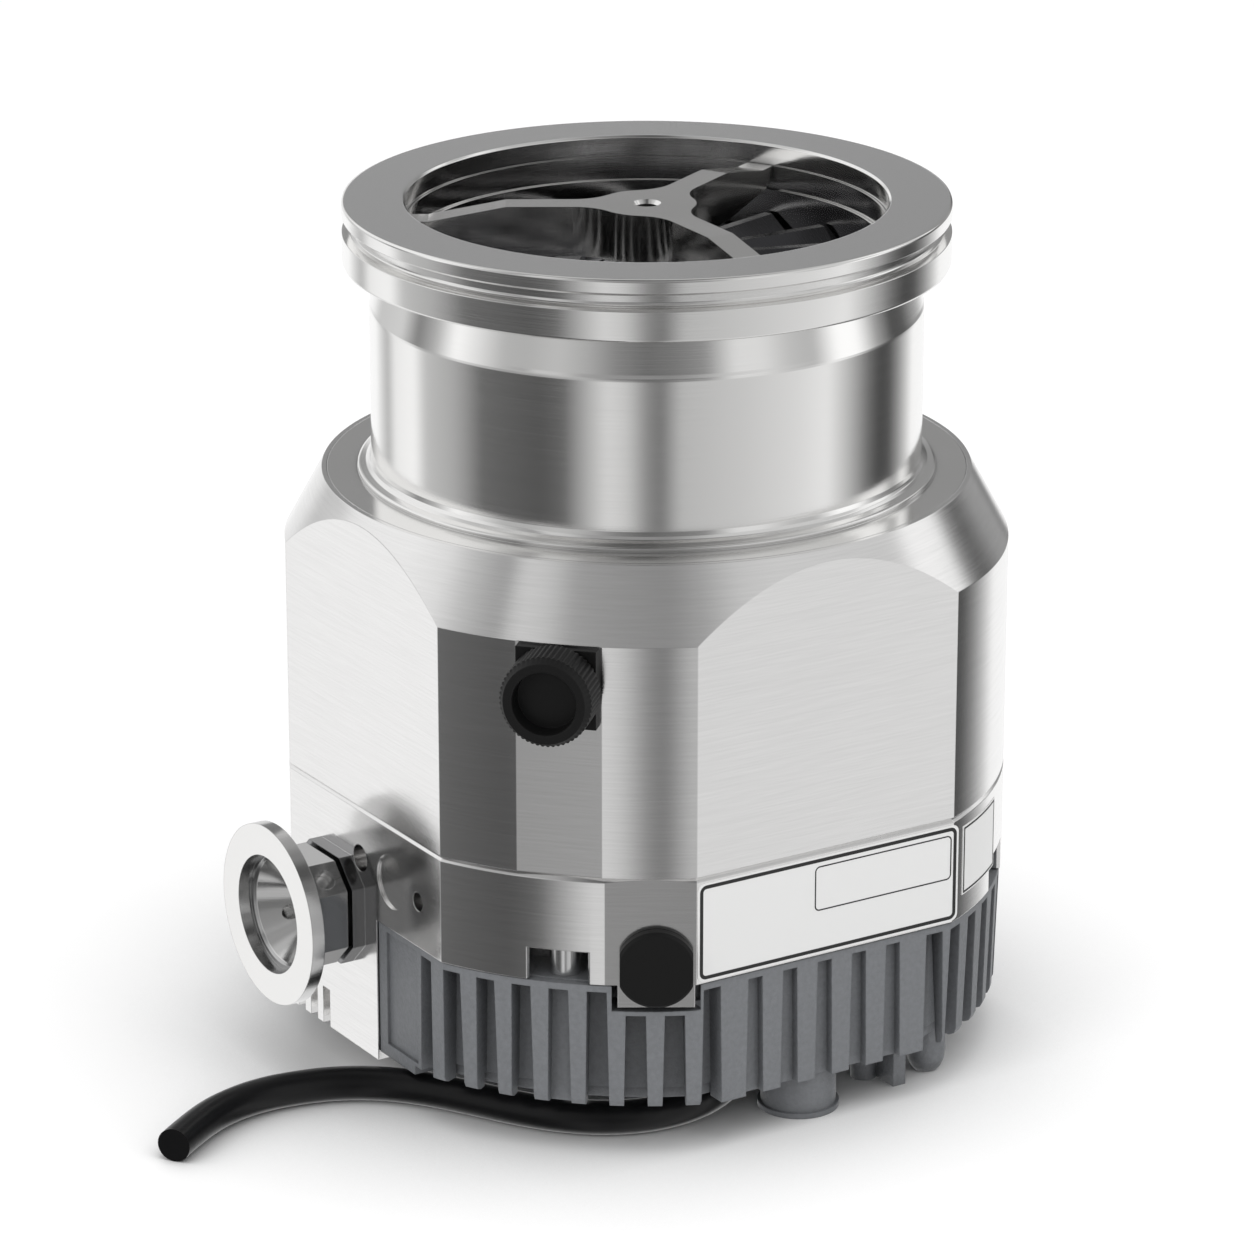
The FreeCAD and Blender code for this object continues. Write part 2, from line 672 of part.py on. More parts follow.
def make_spider():
    bottom = "inlet_z - lip_deep - spider_ring_t"
    shape = new_body("spider_solid")
    revolve(shape, "spider_hub", [
        ("hub_hole_r", "spider_top_z"), ("hub_r", "spider_top_z"), ("hub_r", "arm_foot_z"),
        ("stub_r", "arm_foot_z"), ("stub_r", "stub_foot_z"), ("stub_bore_r", "stub_foot_z"),
        ("stub_bore_r", "stub_foot_z + 11"), ("hub_hole_r", "stub_foot_z + 11")])
    arm = pad(shape, "spider_arm", "XZ_Plane", [
        ("hub_hole_r + 5", "spider_top_z"), ("arm_flat_r", "spider_top_z"),
        ("arm_tab_r", "inlet_z - lip_deep"), ("spider_ring_bore_r + 1.5", "inlet_z - lip_deep"),
        ("spider_ring_bore_r + 1.5", bottom), ("ring_bore_r - 0.4", bottom),
        ("arm_tab_r + 1.5", bottom + " - 1.2"),
        ("arm_flat_r", "arm_foot_z"), ("hub_hole_r + 5", "arm_foot_z")], "arm_w")
    arm.Midplane = True
    around(shape, arm, "Z_Axis", "3")
    turn_about_z(shape, "arm_first")
    blend_angle = math.degrees(math.atan2(value("arm_w / 2 + blend_r"), value("blend_at")))
    gussets = []
    scoops = []
    for number in range(3):
        azimuth = "(arm_first + 120 * %d)" % number
        for side in (1, -1):
            label = "%d_%s" % (number, "left" if side > 0 else "right")
            gussets.append(turn_about_z(prism("gusset_" + label, [
                ("0", "0"), ("blend_at", "%d * arm_w / 2" % side), ("blend_at", "%d * (arm_w / 2 + blend_r)" % side)
                ][::side], "arm_foot_z", "spider_top_z - arm_foot_z"), azimuth))
            scoops.append(polar("scoop_" + label, "blend_r", "spider_top_z - arm_foot_z + 2", "hub_r + blend_r",
                                "%s + %.4f" % (azimuth, side * blend_angle), "arm_foot_z - 1"))
    rim = turned("spider_rim", [
        ("spider_ring_bore_r", bottom), ("stack_r - fit_gap", bottom),
        ("stack_r - fit_gap", "inlet_z - lip_deep"), ("spider_ring_bore_r", "inlet_z - lip_deep")])
    hole = rod("hub_hole", "hub_hole_r", "spider_top_z - stub_foot_z", z="stub_foot_z + 5")
    sink = pin_cone("hub_countersink", "hub_hole_r", "hub_hole_r + 0.8", "0.8", z="spider_top_z - 0.8")
    blends = cut("hub_blends", fuse("hub_gussets", gussets), fuse("hub_scoops", scoops))
    piece("bearing_spider", cut("spider_cut", fuse("spider_fused", [shape, rim, blends]),
                                fuse("spider_tools", [hole, sink])))


def make_magnets():
    still = []
    moving = []
    for number in range(int(SIZES["magnet_count"])):
        top = "magnet_top_z - magnet_t * %d" % number
        still.append(turned("still_magnet_%d" % number, [
            ("stub_r + fit_gap", top + " - magnet_t"), ("still_magnet_r", top + " - magnet_t"),
            ("still_magnet_r", top), ("stub_r + fit_gap", top)]))
        moving.append(turned("turning_magnet_%d" % number, [
            ("rotor_magnet_r", top + " - magnet_t"), ("magnet_seat_r", top + " - magnet_t"),
            ("magnet_seat_r", top), ("rotor_magnet_r", top)]))
    piece("still_magnets", group("still_magnet_stack", still))
    piece("rotor_magnets", group("rotor_magnet_stack", moving))
    piece("backup_bearing", turned("backup_ring", [
        ("backup_bore_r", "stub_foot_z + 1"), ("stub_bore_r", "stub_foot_z + 1"),
        ("stub_bore_r", "stub_foot_z + 1 + backup_t"), ("backup_bore_r", "stub_foot_z + 1 + backup_t")]))


def make_rotor():
    rotor = new_body("rotor_solid")
    revolve(rotor, "rotor_hub", [
        ("magnet_seat_r", "rotor_top_z"), ("rotor_nose_r", "rotor_top_z"), ("rotor_foot_r", "rotor_foot_z"),
        ("shaft_r", "rotor_foot_z"), ("shaft_r", "rotor_well_z"), ("magnet_seat_r", "rotor_well_z")])
    for number in range(1, 5):
        top = row_top(number)
        height = "row_%d_h" % number
        root = cone_radius(top) + " - 3"
        blade = pad(rotor, "blade_%d" % number, "YZ_Plane",
                    blade_outline(top, height, "row_%d_angle" % number), "blade_tip_r - (%s)" % root, root)
        around(rotor, blade, "Z_Axis", "row_%d_count" % number)
    piece("bladed_rotor", rotor)


def make_stators():
    bottom = "inlet_z - lip_deep - spider_ring_t"
    outer = "stack_r - fit_gap"
    above = bottom
    for number in range(1, 4):
        top = vane_top(number)
        height = "vane_%d_h" % number
        low = "%s - %s" % (top, height)
        if number == 1:
            step = "inlet_z - 9.9"
            section = [("ring_bore_r", top), (outer, top), (outer, above), ("spider_ring_bore_r", above),
                       ("spider_ring_bore_r", step), ("ring_bore_r", step)]
        else:
            section = rectangle("ring_bore_r", outer, top, above)
        piece("spacer_ring_%d" % number, turned("spacer_%d" % number, section))
        hub_r = cone_radius(low) + " + 1"
        disc = new_body("stator_%d" % number)
        revolve(disc, "stator_%d_rim" % number, rectangle("ring_bore_r", outer, low, top))
        vane = pad(disc, "vane_%d" % number, "YZ_Plane", vane_outline(top, height, "vane_%d_angle" % number),
                   "ring_bore_r + 1.5 - (%s) - vane_hub_t / 2" % hub_r, hub_r + " + vane_hub_t / 2")
        around(disc, vane, "Z_Axis", "vane_count")
        revolve(disc, "stator_%d_hub" % number, rectangle(hub_r, hub_r + " + vane_hub_t", low, top))
        piece("stator_disc_%d" % number, disc)
        above = low
    piece("spacer_ring_4", turned("spacer_4", rectangle("ring_bore_r", outer, "shelf_z", above)))


# Heights of the drag stage, worked down from the underside of the shelf.
DRAG_PITCH = "(drag_plate_t + 2 * wall_h + 2 * drag_gap + drag_t)"


def drag_plate_top(number):
    return "shelf_z - shelf_t - %s * %d" % (DRAG_PITCH, number)


def spiral_walls(label, low, flip):
    """Walls that sweep outwards along an arc, each the same, evenly spaced."""
    height = value("wall_h")
    inner = value("drag_plate_bore_r") + 0.4
    outer = value("drag_bore_r - fit_gap - drag_rim_t") + (-0.15 if flip else 1.0)
    half = value("wall_t") / 2
    count = int(SIZES["wall_count"])
    sweep = 70.0 * (-1 if flip else 1)

    def at(radius, degrees):
        angle = math.radians(degrees)
        return Vector(radius * math.cos(angle), radius * math.sin(angle), 0)

    middle = (inner + outer) / 2
    walls = []
    for number in range(count):
        start = 360.0 / count * number
        ends = []
        for offset in (-half, half):
            lean_in = math.degrees(offset / inner)
            lean_middle = math.degrees(offset / middle)
            lean_out = math.degrees(offset / outer)
            ends.append((at(inner, start + lean_in), at(middle, start + sweep * 0.62 + lean_middle),
                         at(outer, start + sweep + lean_out)))
        first, second = ends
        outline = Part.Wire([Part.Arc(*first).toShape(), Part.LineSegment(first[2], second[2]).toShape(),
                             Part.Arc(second[2], second[1], second[0]).toShape(),
                             Part.LineSegment(second[0], first[0]).toShape()])
        walls.append(Part.Face(outline).extrude(Vector(0, 0, height)))
    feature = doc.addObject("Part::Feature", label)
    feature.Shape = Part.makeCompound(walls)
    feature.Placement.Base = Vector(0, 0, value(low))
    return feature


def make_drag_stage():
    outer = "drag_bore_r - fit_gap"
    rim = outer + " - drag_rim_t"
    for number in range(3):
        top = drag_plate_top(number)
        low = top + " - drag_plate_t"
        foot = drag_plate_top(number + 1) if number < 2 else low
        section = [("drag_plate_bore_r", low), ("drag_plate_bore_r", top), (outer, top), (outer, foot)]
        if number < 2:
            section += [(rim, foot), (rim, low)]
        items = [turned("drag_plate_%d" % number, section)]
        if number < 2:
            items.append(spiral_walls("walls_below_%d" % number, low + " - wall_h", False))
        if number > 0:
            items.append(spiral_walls("walls_above_%d" % number, top, True))
        plate = fuse("drag_fused_%d" % number, items)
        if number == 0:
            passage = turned_sideways("rim_passage", [
                ("50", "0"), ("drag_bore_r + 1", "0"), ("drag_bore_r + 1", "vent_hole_r"),
                ("50", "vent_hole_r")], "vent_azimuth", "vent_z")
            plate = cut("drag_vented", plate, passage)
        piece("drag_stator_%d" % (number + 1), plate)
    piece("drag_spacer", turned("drag_spacer_ring", rectangle(
        rim, outer, "split_z + spigot_up", drag_plate_top(2) + " - drag_plate_t")))
    section = [("shaft_r", "sleeve_foot_z")]
    section.append(("sleeve_r", "sleeve_foot_z"))
    for number in (2, 1):
        low = drag_plate_top(number) + " + wall_h + drag_gap"
        section += [("sleeve_r", low), ("drag_r", low), ("drag_r", low + " + drag_t"),
                    ("sleeve_r", low + " + drag_t")]
    section += [("sleeve_r", "rotor_foot_z"), ("shaft_r", "rotor_foot_z")]
    piece("drag_rotor", turned("drag_rotor_turned", section))


def make_shaft():
    piece("rotor_shaft", turned("shaft_turned", [
        ("0", "nut_z - 2"), ("3", "nut_z - 2"), ("3", "bearing_foot_z - 1"), ("journal_r", "bearing_foot_z - 1"),
        ("journal_r", "bearing_foot_z + bearing_h"), ("journal_r + 2", "bearing_foot_z + bearing_h"),
        ("journal_r + 2", "motor_foot_z - 2"), ("shaft_r", "motor_foot_z - 2"), ("shaft_r", "rotor_well_z"),
        ("backup_bore_r - 0.3", "rotor_well_z"), ("backup_bore_r - 0.3", "stub_foot_z + 8"),
        ("0", "stub_foot_z + 8")]))


def make_motor():
    top = "motor_foot_z + motor_h"
    core = new_body("core_solid")
    revolve(core, "core_ring", rectangle("motor_bore_r", "motor_r", "motor_foot_z", top))
    slot = pocket_through(core, "core_slot", "XY_Plane",
                          rectangle("motor_bore_r + 1.5", "motor_r - 3", "0 - slot_w / 2", "slot_w / 2"))
    around(core, slot, "Z_Axis", "motor_slots")
    piece("motor_core", core)
    coils = new_body("winding_solid")
    inner = "motor_bore_r + 1.8"
    outer = "motor_r - 3.3"
    revolve(coils, "winding_low", [
        (inner, "motor_foot_z - winding_h"), (outer + " - 1", "motor_foot_z - winding_h"),
        (outer, "motor_foot_z - winding_h + 1"), (outer, "motor_foot_z"), (inner, "motor_foot_z")])
    bar = pad(coils, "winding_bar", "XY_Plane",
              rectangle(inner, outer, "0.3 - slot_w / 2", "slot_w / 2 - 0.3"), "motor_h", "motor_foot_z")
    around(coils, bar, "Z_Axis", "motor_slots")
    revolve(coils, "winding_high", [
        (inner, top), (outer, top), (outer, top + " + winding_h - 1"),
        (outer + " - 1", top + " + winding_h"), (inner, top + " + winding_h")])
    piece("motor_windings", coils)
    piece("motor_magnet", turned("motor_magnet_ring", rectangle(
        "shaft_r", "motor_magnet_r", "motor_foot_z", top)))


def make_bearing():
    low = "bearing_foot_z"
    top = "bearing_foot_z + bearing_h"
    middle = "bearing_foot_z + bearing_h / 2"
    groove = ring("ball_track", "ball_at", "ball_r + ball_play", middle)
    inner = turned("inner_race_ring", rectangle("journal_r", "ball_at - 0.7", low, top))
    outer = turned("outer_race_ring", rectangle("ball_at + 0.7", "bearing_r", low, top))
    piece("bearing_inner_race", cut("inner_race_cut", inner, groove))
    piece("bearing_outer_race", cut("outer_race_cut", outer, ring("outer_track", "ball_at",
                                                                 "ball_r + ball_play", middle)))
    balls = []
    holes = []
    for number in range(int(SIZES["ball_count"])):
        angle = "360 / ball_count * %d" % number
        place = {"x": "ball_at * cos(%s)" % angle, "y": "ball_at * sin(%s)" % angle, "z": middle}
        ball = doc.addObject("Part::Sphere", "ball_%d" % number)
        balls.append(bind(ball, Radius="ball_r", **place))
        hole = doc.addObject("Part::Sphere", "ball_pocket_%d" % number)
        holes.append(bind(hole, Radius="ball_r + 0.08", **place))
    cage = cut("cage_cut", turned("cage_ring", rectangle(
        "ball_at - 0.5", "ball_at + 0.5", middle + " - 1.6", middle + " + 3")), group("cage_pockets", holes))
    piece("ball_cage", group("ball_cage_set", [cage] + balls))
    wall = "bearing_r"
    carrier = turned("carrier_cup", [
        (wall, low), ("carrier_r - 3", low), ("carrier_r - 3", low + " + 1"),
        ("carrier_r", low + " + 1"), ("carrier_r", low + " + 3"), ("carrier_r - 1.9", low + " + 3"),
        ("carrier_r - 1.9", low + " + 5.6"), ("carrier_r", low + " + 5.6"), ("carrier_r", low + " + 8"),
        ("carrier_r - 1.9", low + " + 8"), ("carrier_r - 1.9", low + " + 10.6"),
        ("carrier_r", low + " + 10.6"), ("carrier_r", top + " + 4"), ("bearing_r - 1.5", top + " + 4"),
        ("bearing_r - 1.5", top), (wall, top)])
    piece("bearing_carrier", carrier)
    piece("bearing_dampers", group("damper_pair", [
        ring("damper_low", "carrier_r - 0.85", "0.9", low + " + 4.3"),
        ring("damper_high", "carrier_r - 0.85", "0.9", low + " + 9.3")]))


def make_oil_supply():
    piece("oil_nut", turned("oil_nut_cone", [
        ("3", "nut_z - 7"), ("3.6", "nut_z - 7"), ("nut_r", "nut_z + 1"), ("nut_r", "nut_z + 3"),
        ("3", "nut_z + 3")]))
    inner = "cartridge_r - cartridge_wall"
    piece("oil_cartridge", turned("cartridge_cup", [
        ("0", "cartridge_foot_z"), ("cartridge_r", "cartridge_foot_z"), ("cartridge_r", "nut_z + 2"),
        (inner, "nut_z + 2"), (inner, "cartridge_foot_z + cartridge_wall"),
        ("0", "cartridge_foot_z + cartridge_wall")]))
    piece("oil_wick", turned("wick_felt", [
        ("0", "cartridge_foot_z + cartridge_wall"), (inner, "cartridge_foot_z + cartridge_wall"),
        (inner, "nut_z + 1"), ("nut_r + 0.4", "nut_z + 1"), ("4", "nut_z - 7"), ("4", "nut_z - 9"),
        ("0", "nut_z - 9")]))
    cap = turned("cap_disc", [
        ("0", "cap_z"), ("cap_r", "cap_z"), ("cap_r", "cartridge_foot_z - 0.2"),
        ("0", "cartridge_foot_z - 0.2")])
    slots = group("cap_slots", [
        block("cap_slot_1", "4", "2.4", "2", "10", "0 - 1.2", "cap_z - 0.5"),
        block("cap_slot_2", "4", "2.4", "2", "0 - 14", "0 - 1.2", "cap_z - 0.5")])
    piece("cartridge_cap", cut("cap_cut", cap, slots))


def make_backing_port():
    """The port is drawn pointing along +X and turned to point along -X."""
    start = "flat_at + port_boss + port_seam"
    body = new_body("port_solid")
    revolve(body, "port_flange", [
        (start, "0"), ("port_face", "0"), ("port_face", "port_flange_r"),
        ("port_face - port_flange_t", "port_flange_r"), ("port_face - port_flange_t - 1.6", "port_across / 2 + 2"),
        ("port_face - port_flange_t - 1.6", "port_across / 2 - 1"), (start, "port_across / 2 - 1")], "H_Axis")
    pad(body, "port_square", "YZ_Plane", bevelled_square("port_across", "port_corner"),
        "port_face - port_flange_t - 1 - (%s)" % start, start)
    bore = turned_sideways("port_bore", [
        (start + " - 1", "0"), ("port_face + 1", "0"), ("port_face + 1", "port_center_r"),
        ("port_face - port_center_deep", "port_center_r"), ("port_face - port_center_deep", "port_bore_r + 0.6"),
        ("port_face - port_center_deep - 0.6", "port_bore_r"), (start, "duct_r"), (start + " - 1", "duct_r")],
        "0", "0")
    screw_hole = bind(rod("port_screw_hole", "port_hole_r", "20"), x="port_face - 9.3", y="7", z="7")
    screw_hole.Placement.Rotation = Rotation(Vector(1, 0, 0), -45)
    wall_hole = bind(rod("port_wall_hole", "1.6", "3.6"), x="port_face - 9.3", y="0 - 5.6", z="0 - 3.1")
    wall_hole.Placement.Rotation = Rotation(Vector(1, 0, 0), 119)
    port = cut("port_cut", body, fuse("port_tools", [bore, screw_hole, wall_hole]))
    port.Placement.Rotation = Rotation(Vector(0, 0, 1), 180)
    bind(port, y="port_y", z="port_z")
    piece("backing_port", port)
    seal = turned_sideways("port_seal_ring", [
        ("flat_at + port_boss", "duct_r + 1.5"), (start, "duct_r + 1.5"), (start, "port_across / 2 - 1.2"),
        ("flat_at + port_boss", "port_across / 2 - 1.2")], "180", "port_z", "port_y")
    piece("backing_port_seal", seal)


def make_vent_valve():
    front = "vent_face + vent_plate_t"
    base = fuse("vent_base", [
        turn_about_z(prism("vent_base_plate", rectangle(
            "vent_face", front, "0 - vent_plate / 2", "vent_plate / 2"), "cone_z - vent_plate - 0.3",
            "vent_plate"), "vent_azimuth"),
        turned_sideways("vent_insert", [
            ("vent_seat + 4.2", "0"), ("vent_face + 1", "0"), ("vent_face + 1", "vent_bore_r - fit_gap"),
            ("vent_seat + 4.2", "vent_bore_r - fit_gap")], "vent_azimuth", "vent_z")])
    stem_bore = turned_sideways("vent_stem_bore", [
        ("vent_seat", "0"), (front + " + 1", "0"), (front + " + 1", "vent_stem_r + slip"),
        ("vent_seat", "vent_stem_r + slip")], "vent_azimuth", "vent_z")
    piece("vent_valve_body", cut("vent_body_cut", base, stem_bore))
    knob = new_body("knob_solid")
    back = front + " + 0.5"
    face = "%s + knob_t" % back
    revolve(knob, "knob_turned", [
        (back, "vent_stem_r"), (back, "knob_r - edge"), (back + " + edge", "knob_r"),
        (face + " - edge", "knob_r"), (face, "knob_r - edge"), (face, "knob_hollow_r"),
        (face + " - knob_hollow_deep", "knob_hollow_r - 0.3"), (face + " - knob_hollow_deep", "0"),
        (face + " - knob_hollow_deep - 1.5", "0"), (face + " - knob_hollow_deep - 1.5", "vent_stem_r")], "H_Axis")
    flute = pocket_through(knob, "knob_flute", "YZ_Plane", [
        ("0 - 0.42", "knob_r + 0.5"), ("0", "knob_r - 0.4"), ("0.42", "knob_r + 0.5")])
    around(knob, flute, "X_Axis", "knob_flutes")
    turn_about_z(knob, "vent_azimuth")
    bind(knob, z="vent_z")
    piece("vent_knob", knob)
    piece("vent_stem", turned_sideways("vent_stem_rod", [
        ("vent_seat + 2.5", "0"), (face + " - knob_hollow_deep - 1.5", "0"),
        (face + " - knob_hollow_deep - 1.5", "vent_stem_r"), ("vent_seat + 2.5", "vent_stem_r")],
        "vent_azimuth", "vent_z"))
    piece("vent_plunger", turned_sideways("plunger_disc", [
        ("vent_seat + 1.1", "0"), ("vent_seat + 2.4", "0"), ("vent_seat + 2.4", "vent_bore_r - 1.2"),
        ("vent_seat + 1.1", "vent_bore_r - 1.2")], "vent_azimuth", "vent_z"))
    piece("vent_seal_pad", turned_sideways("seal_disc", [
        ("vent_seat + 0.1", "0"), ("vent_seat + 1.1", "0"), ("vent_seat + 1.1", "vent_bore_r - 1.8"),
        ("vent_seat + 0.1", "vent_bore_r - 1.8")], "vent_azimuth", "vent_z"))


def make_purge_plug():
    head = turned_sideways("plug_head", [
        ("purge_face + 0.1", "0"), ("purge_face + plug_t", "0"), ("purge_face + plug_t", "plug_r - edge"),
        ("purge_face + plug_t - edge", "plug_r"), ("purge_face + 0.1", "plug_r")],
        "purge_azimuth", "purge_z", "0 - purge_side")
    flats = turn_about_z(prism("plug_flats", rectangle(
        "purge_face", "purge_face + plug_t + 1", "purge_side - plug_across / 2", "purge_side + plug_across / 2"),
        "purge_z - plug_r - 1", "2 * plug_r + 2"), "purge_azimuth")
    stub = turned_sideways("plug_stub", [
        ("purge_face - purge_deep + 1", "0"), ("purge_face + 0.2", "0"), ("purge_face + 0.2", "purge_hole_r - slip"),
        ("purge_face - purge_deep + 1", "purge_hole_r - slip")], "purge_azimuth", "purge_z", "0 - purge_side")
    groove = turned_sideways("plug_groove", [
        ("purge_face - 4.4", "purge_hole_r - 1.1"), ("purge_face - 3", "purge_hole_r - 1.1"),
        ("purge_face - 3", "purge_hole_r + 1"), ("purge_face - 4.4", "purge_hole_r + 1")],
        "purge_azimuth", "purge_z", "0 - purge_side")
    piece("purge_plug", cut("plug_cut", fuse("plug_fused", [common("plug_head_flats", [head, flats]), stub]),
                            groove))
    piece("purge_seal", turned_sideways("purge_seal_ring", [
        ("purge_face - 4.3", "purge_hole_r - 1.05"), ("purge_face - 3.1", "purge_hole_r - 1.05"),
        ("purge_face - 3.1", "purge_hole_r - 0.15"), ("purge_face - 4.3", "purge_hole_r - 0.15")],
        "purge_azimuth", "purge_z", "0 - purge_side"))


def make_screws():
    ties = []
    for number in range(int(SIZES["tie_count"])):
        angle = tie_azimuth(number)
        shank = polar("tie_shank_%d" % number, "tie_r - 0.1", "shelf_z + tie_grip - body_z - 0.5", "tie_at",
                      angle, "body_z + 0.5")
        head = polar("tie_head_%d" % number, "tie_head_r", "tie_head_t", "tie_at", angle, "body_z + 0.5")
        socket = polar("tie_socket_%d" % number, "tie_r - 0.5", "2.5", "tie_at", angle, "body_z + 0.2")
        ties.append(cut("tie_%d" % number, fuse("tie_fused_%d" % number, [shank, head]), socket))
    piece("tie_screws", group("tie_screw_set", ties))
    screws = []
    for number in range(4):
        angle = "pocket_azimuth + 90 * %d" % number
        reach = "case_r - pocket_deep / 2 - 0.2"
        shank = polar("cap_shank_%d" % number, "cap_screw_r", "10", reach, angle, "body_z - 10")
        head = polar("cap_head_%d" % number, "cap_head_r", "cap_head_t", reach, angle, "body_z")
        socket = polar("cap_socket_%d" % number, "cap_head_r / 2", "2", reach, angle, "body_z + cap_head_t - 2")
        screws.append(cut("cap_%d" % number, fuse("cap_fused_%d" % number, [shank, head]), socket))
    piece("housing_screws", group("housing_screw_set", screws))


def fin_slot(label, azimuth, across, width, floor_at, top):
    """An upright slot that widens towards the foot, cut inwards to a floor that faces an azimuth."""
    low = "house_foot_z - 5"
    half = "(%s) / 2" % width
    slot = prism(label, [
        ("%s - %s - fin_slot_spread" % (across, half), low), ("%s + %s + fin_slot_spread" % (across, half), low),
        ("%s + %s" % (across, half), top), ("%s - %s" % (across, half), top)], floor_at, "20", "YZ_Plane")
    return turn_about_z(slot, azimuth)


def fin_slots():
    """Upright slots round the housing: deep ones on the rounded corners, shallow ones on the flats."""
    slots = []
    face = "flat_at - house_flat_inset"
    top = "body_z - fin_band"
    for side in range(4):
        azimuth = "90 * %d" % side
        if side == 2:
            slots.append(fin_slot("side_slot", azimuth, "side_slot_at", "fin_slot", face + " - fin_deep", top))
        else:
            for number in range(int(SIZES["slots_on_flat"])):
                across = "flat_pitch * (%d - (slots_on_flat - 1) / 2)" % number
                slots.append(fin_slot("flat_slot_%d_%d" % (side, number), azimuth, across, "flat_slot",
                                      face + " - flat_slot_deep", top))
            for end, sign in (("first", "0 - end_slot_at"), ("last", "end_slot_at")):
                slots.append(fin_slot("end_slot_%d_%s" % (side, end), azimuth, sign, "fin_slot",
                                      face + " - fin_deep", top))
        for number in range(int(SIZES["slots_on_round"])):
            step = "(fin_pitch / house_top_r * 57.2958)"
            angle = "pocket_azimuth + 90 * %d + %s * (%d - (slots_on_round - 1) / 2)" % (side, step, number)
            turn = value(angle)
            near_tab = abs((turn - value("purge_azimuth") + 180) % 360 - 180) < 8
            deep = "screw_slot_deep" if number == int(SIZES["slots_on_round"]) // 2 else "fin_deep"
            slots.append(fin_slot("round_slot_%d_%d" % (side, number), angle, "0", "fin_slot",
                                  "house_foot_r - " + deep, "tab_z - notch_gap - 1" if near_tab else top))
    return slots


def make_housing():
    face = "flat_at - house_flat_inset"
    tall = "body_z - house_foot_z"
    outer = turned("house_cone", [
        ("0", "house_foot_z"), ("house_foot_r - house_foot_round", "house_foot_z"),
        ("house_foot_r - house_foot_round * 0.3", "house_foot_z + house_foot_round * 0.3"),
        ("house_foot_r", "house_foot_z + house_foot_round"), ("house_top_r", "body_z - house_seam"),
        ("house_top_r - 2", "body_z - house_seam"), ("house_top_r - 2", "body_z"), ("0", "body_z")])
    square = prism("house_square", rectangle("0 - (%s)" % face, face, "0 - (%s)" % face, face),
                   "house_foot_z", "body_z - house_seam - house_foot_z")
    top_square = prism("house_top_square", rectangle("0 - (%s) + 2" % face, face + " - 2", "0 - (%s) + 2" % face,
                                                     face + " - 2"), "body_z - 1", "1")
    shell = common("house_block", [outer, fuse("house_squares", [square, top_square])])
    bosses = [polar("cover_boss_%d" % number, "cover_screw_r + 2", "body_z - 1 - house_wall_z", "cover_screw_at",
                    "45 + 90 * %d" % number, "house_wall_z") for number in range(4)]
    inner_r = "house_foot_r - fin_deep - house_wall"
    inner_face = face + " - fin_deep - house_wall"
    cavity = common("house_cavity", [
        rod("cavity_round", inner_r, tall + " - house_web + 1", z="house_foot_z - 1"),
        prism("cavity_square", rectangle("0 - (%s)" % inner_face, inner_face, "0 - (%s)" % inner_face, inner_face),
              "house_foot_z - 1", tall + " - house_web + 1")])
    foot_trim = cut("foot_trim", rod("foot_trim_round", "house_foot_r - fin_deep + 1", "3", z="house_wall_z - 3"),
                    rod("foot_trim_core", "1", "3", z="house_wall_z - 3"))
    trim = common("wall_trim", [foot_trim, prism("wall_trim_square", rectangle(
        "0 - (%s) + fin_deep" % face, face + " - fin_deep", "0 - (%s) + fin_deep" % face, face + " - fin_deep"),
        "house_wall_z - 3", "3")])
    opening = block("plate_opening", "60", "plate_from + plate_to + 0.6", "60",
                    "0 - duct_at + duct_r + 5 - 60", "0 - plate_from - 0.3", "0 - 10")
    notch = turn_about_z(prism("tab_notch", rectangle(
        "purge_face - 7.5", "purge_face + 5", "purge_side - tab_w / 2 - notch_gap",
        "purge_side + tab_w / 2 + notch_gap"),
        "tab_z - notch_gap", "20"), "purge_azimuth")
    tools = [opening, notch, rod("house_bore", "house_bore_r", "60", z="0")] + fin_slots()
    for number in range(4):
        tools.append(polar("cap_thread_%d" % number, "cap_screw_r", "14", "case_r - pocket_deep / 2 - 0.2",
                           "pocket_azimuth + 90 * %d" % number, "body_z - 12"))
        tools.append(polar("boss_thread_%d" % number, "cover_screw_r", "12", "cover_screw_at",
                           "45 + 90 * %d" % number, "house_wall_z - 1"))
    panel = prism("side_panel", rectangle("0 - (%s)" % face, "0 - (%s) + fin_deep" % face,
                                          "0 - panel_to", "0 - plate_from - 0.3"),
                  "panel_foot_z", "house_wall_z - panel_foot_z + 3")
    sunk = block("panel_recess", "panel_sunk + 5", "panel_to + 1.5 - plate_from - panel_frame", "26",
                 "0 - (%s) - 5" % face, "0 - panel_to - 1.5", "panel_foot_z + 3")
    hollow = cut("house_hollow", shell, group("house_room", [cavity, trim]))
    solid = cut("house_cut", fuse("house_with_bosses", [hollow] + bosses), group("house_tools", tools))
    piece("drive_housing", cut("house_sunk", fuse("house_with_panel", [solid, panel]), sunk))


def turned_post():
    """A cup-shaped post, narrower where it meets the floor."""
    post = turned("post_cup", [
        ("0", "0"), ("post_r * 0.6", "0"), ("post_r * 0.78", "1"), ("post_r * 0.93", "2.6"), ("post_r", "5"),
        ("post_r", "house_wall_z - cover_t"), ("0", "house_wall_z - cover_t")])
    return bind(post, x="post_x", y="post_y")


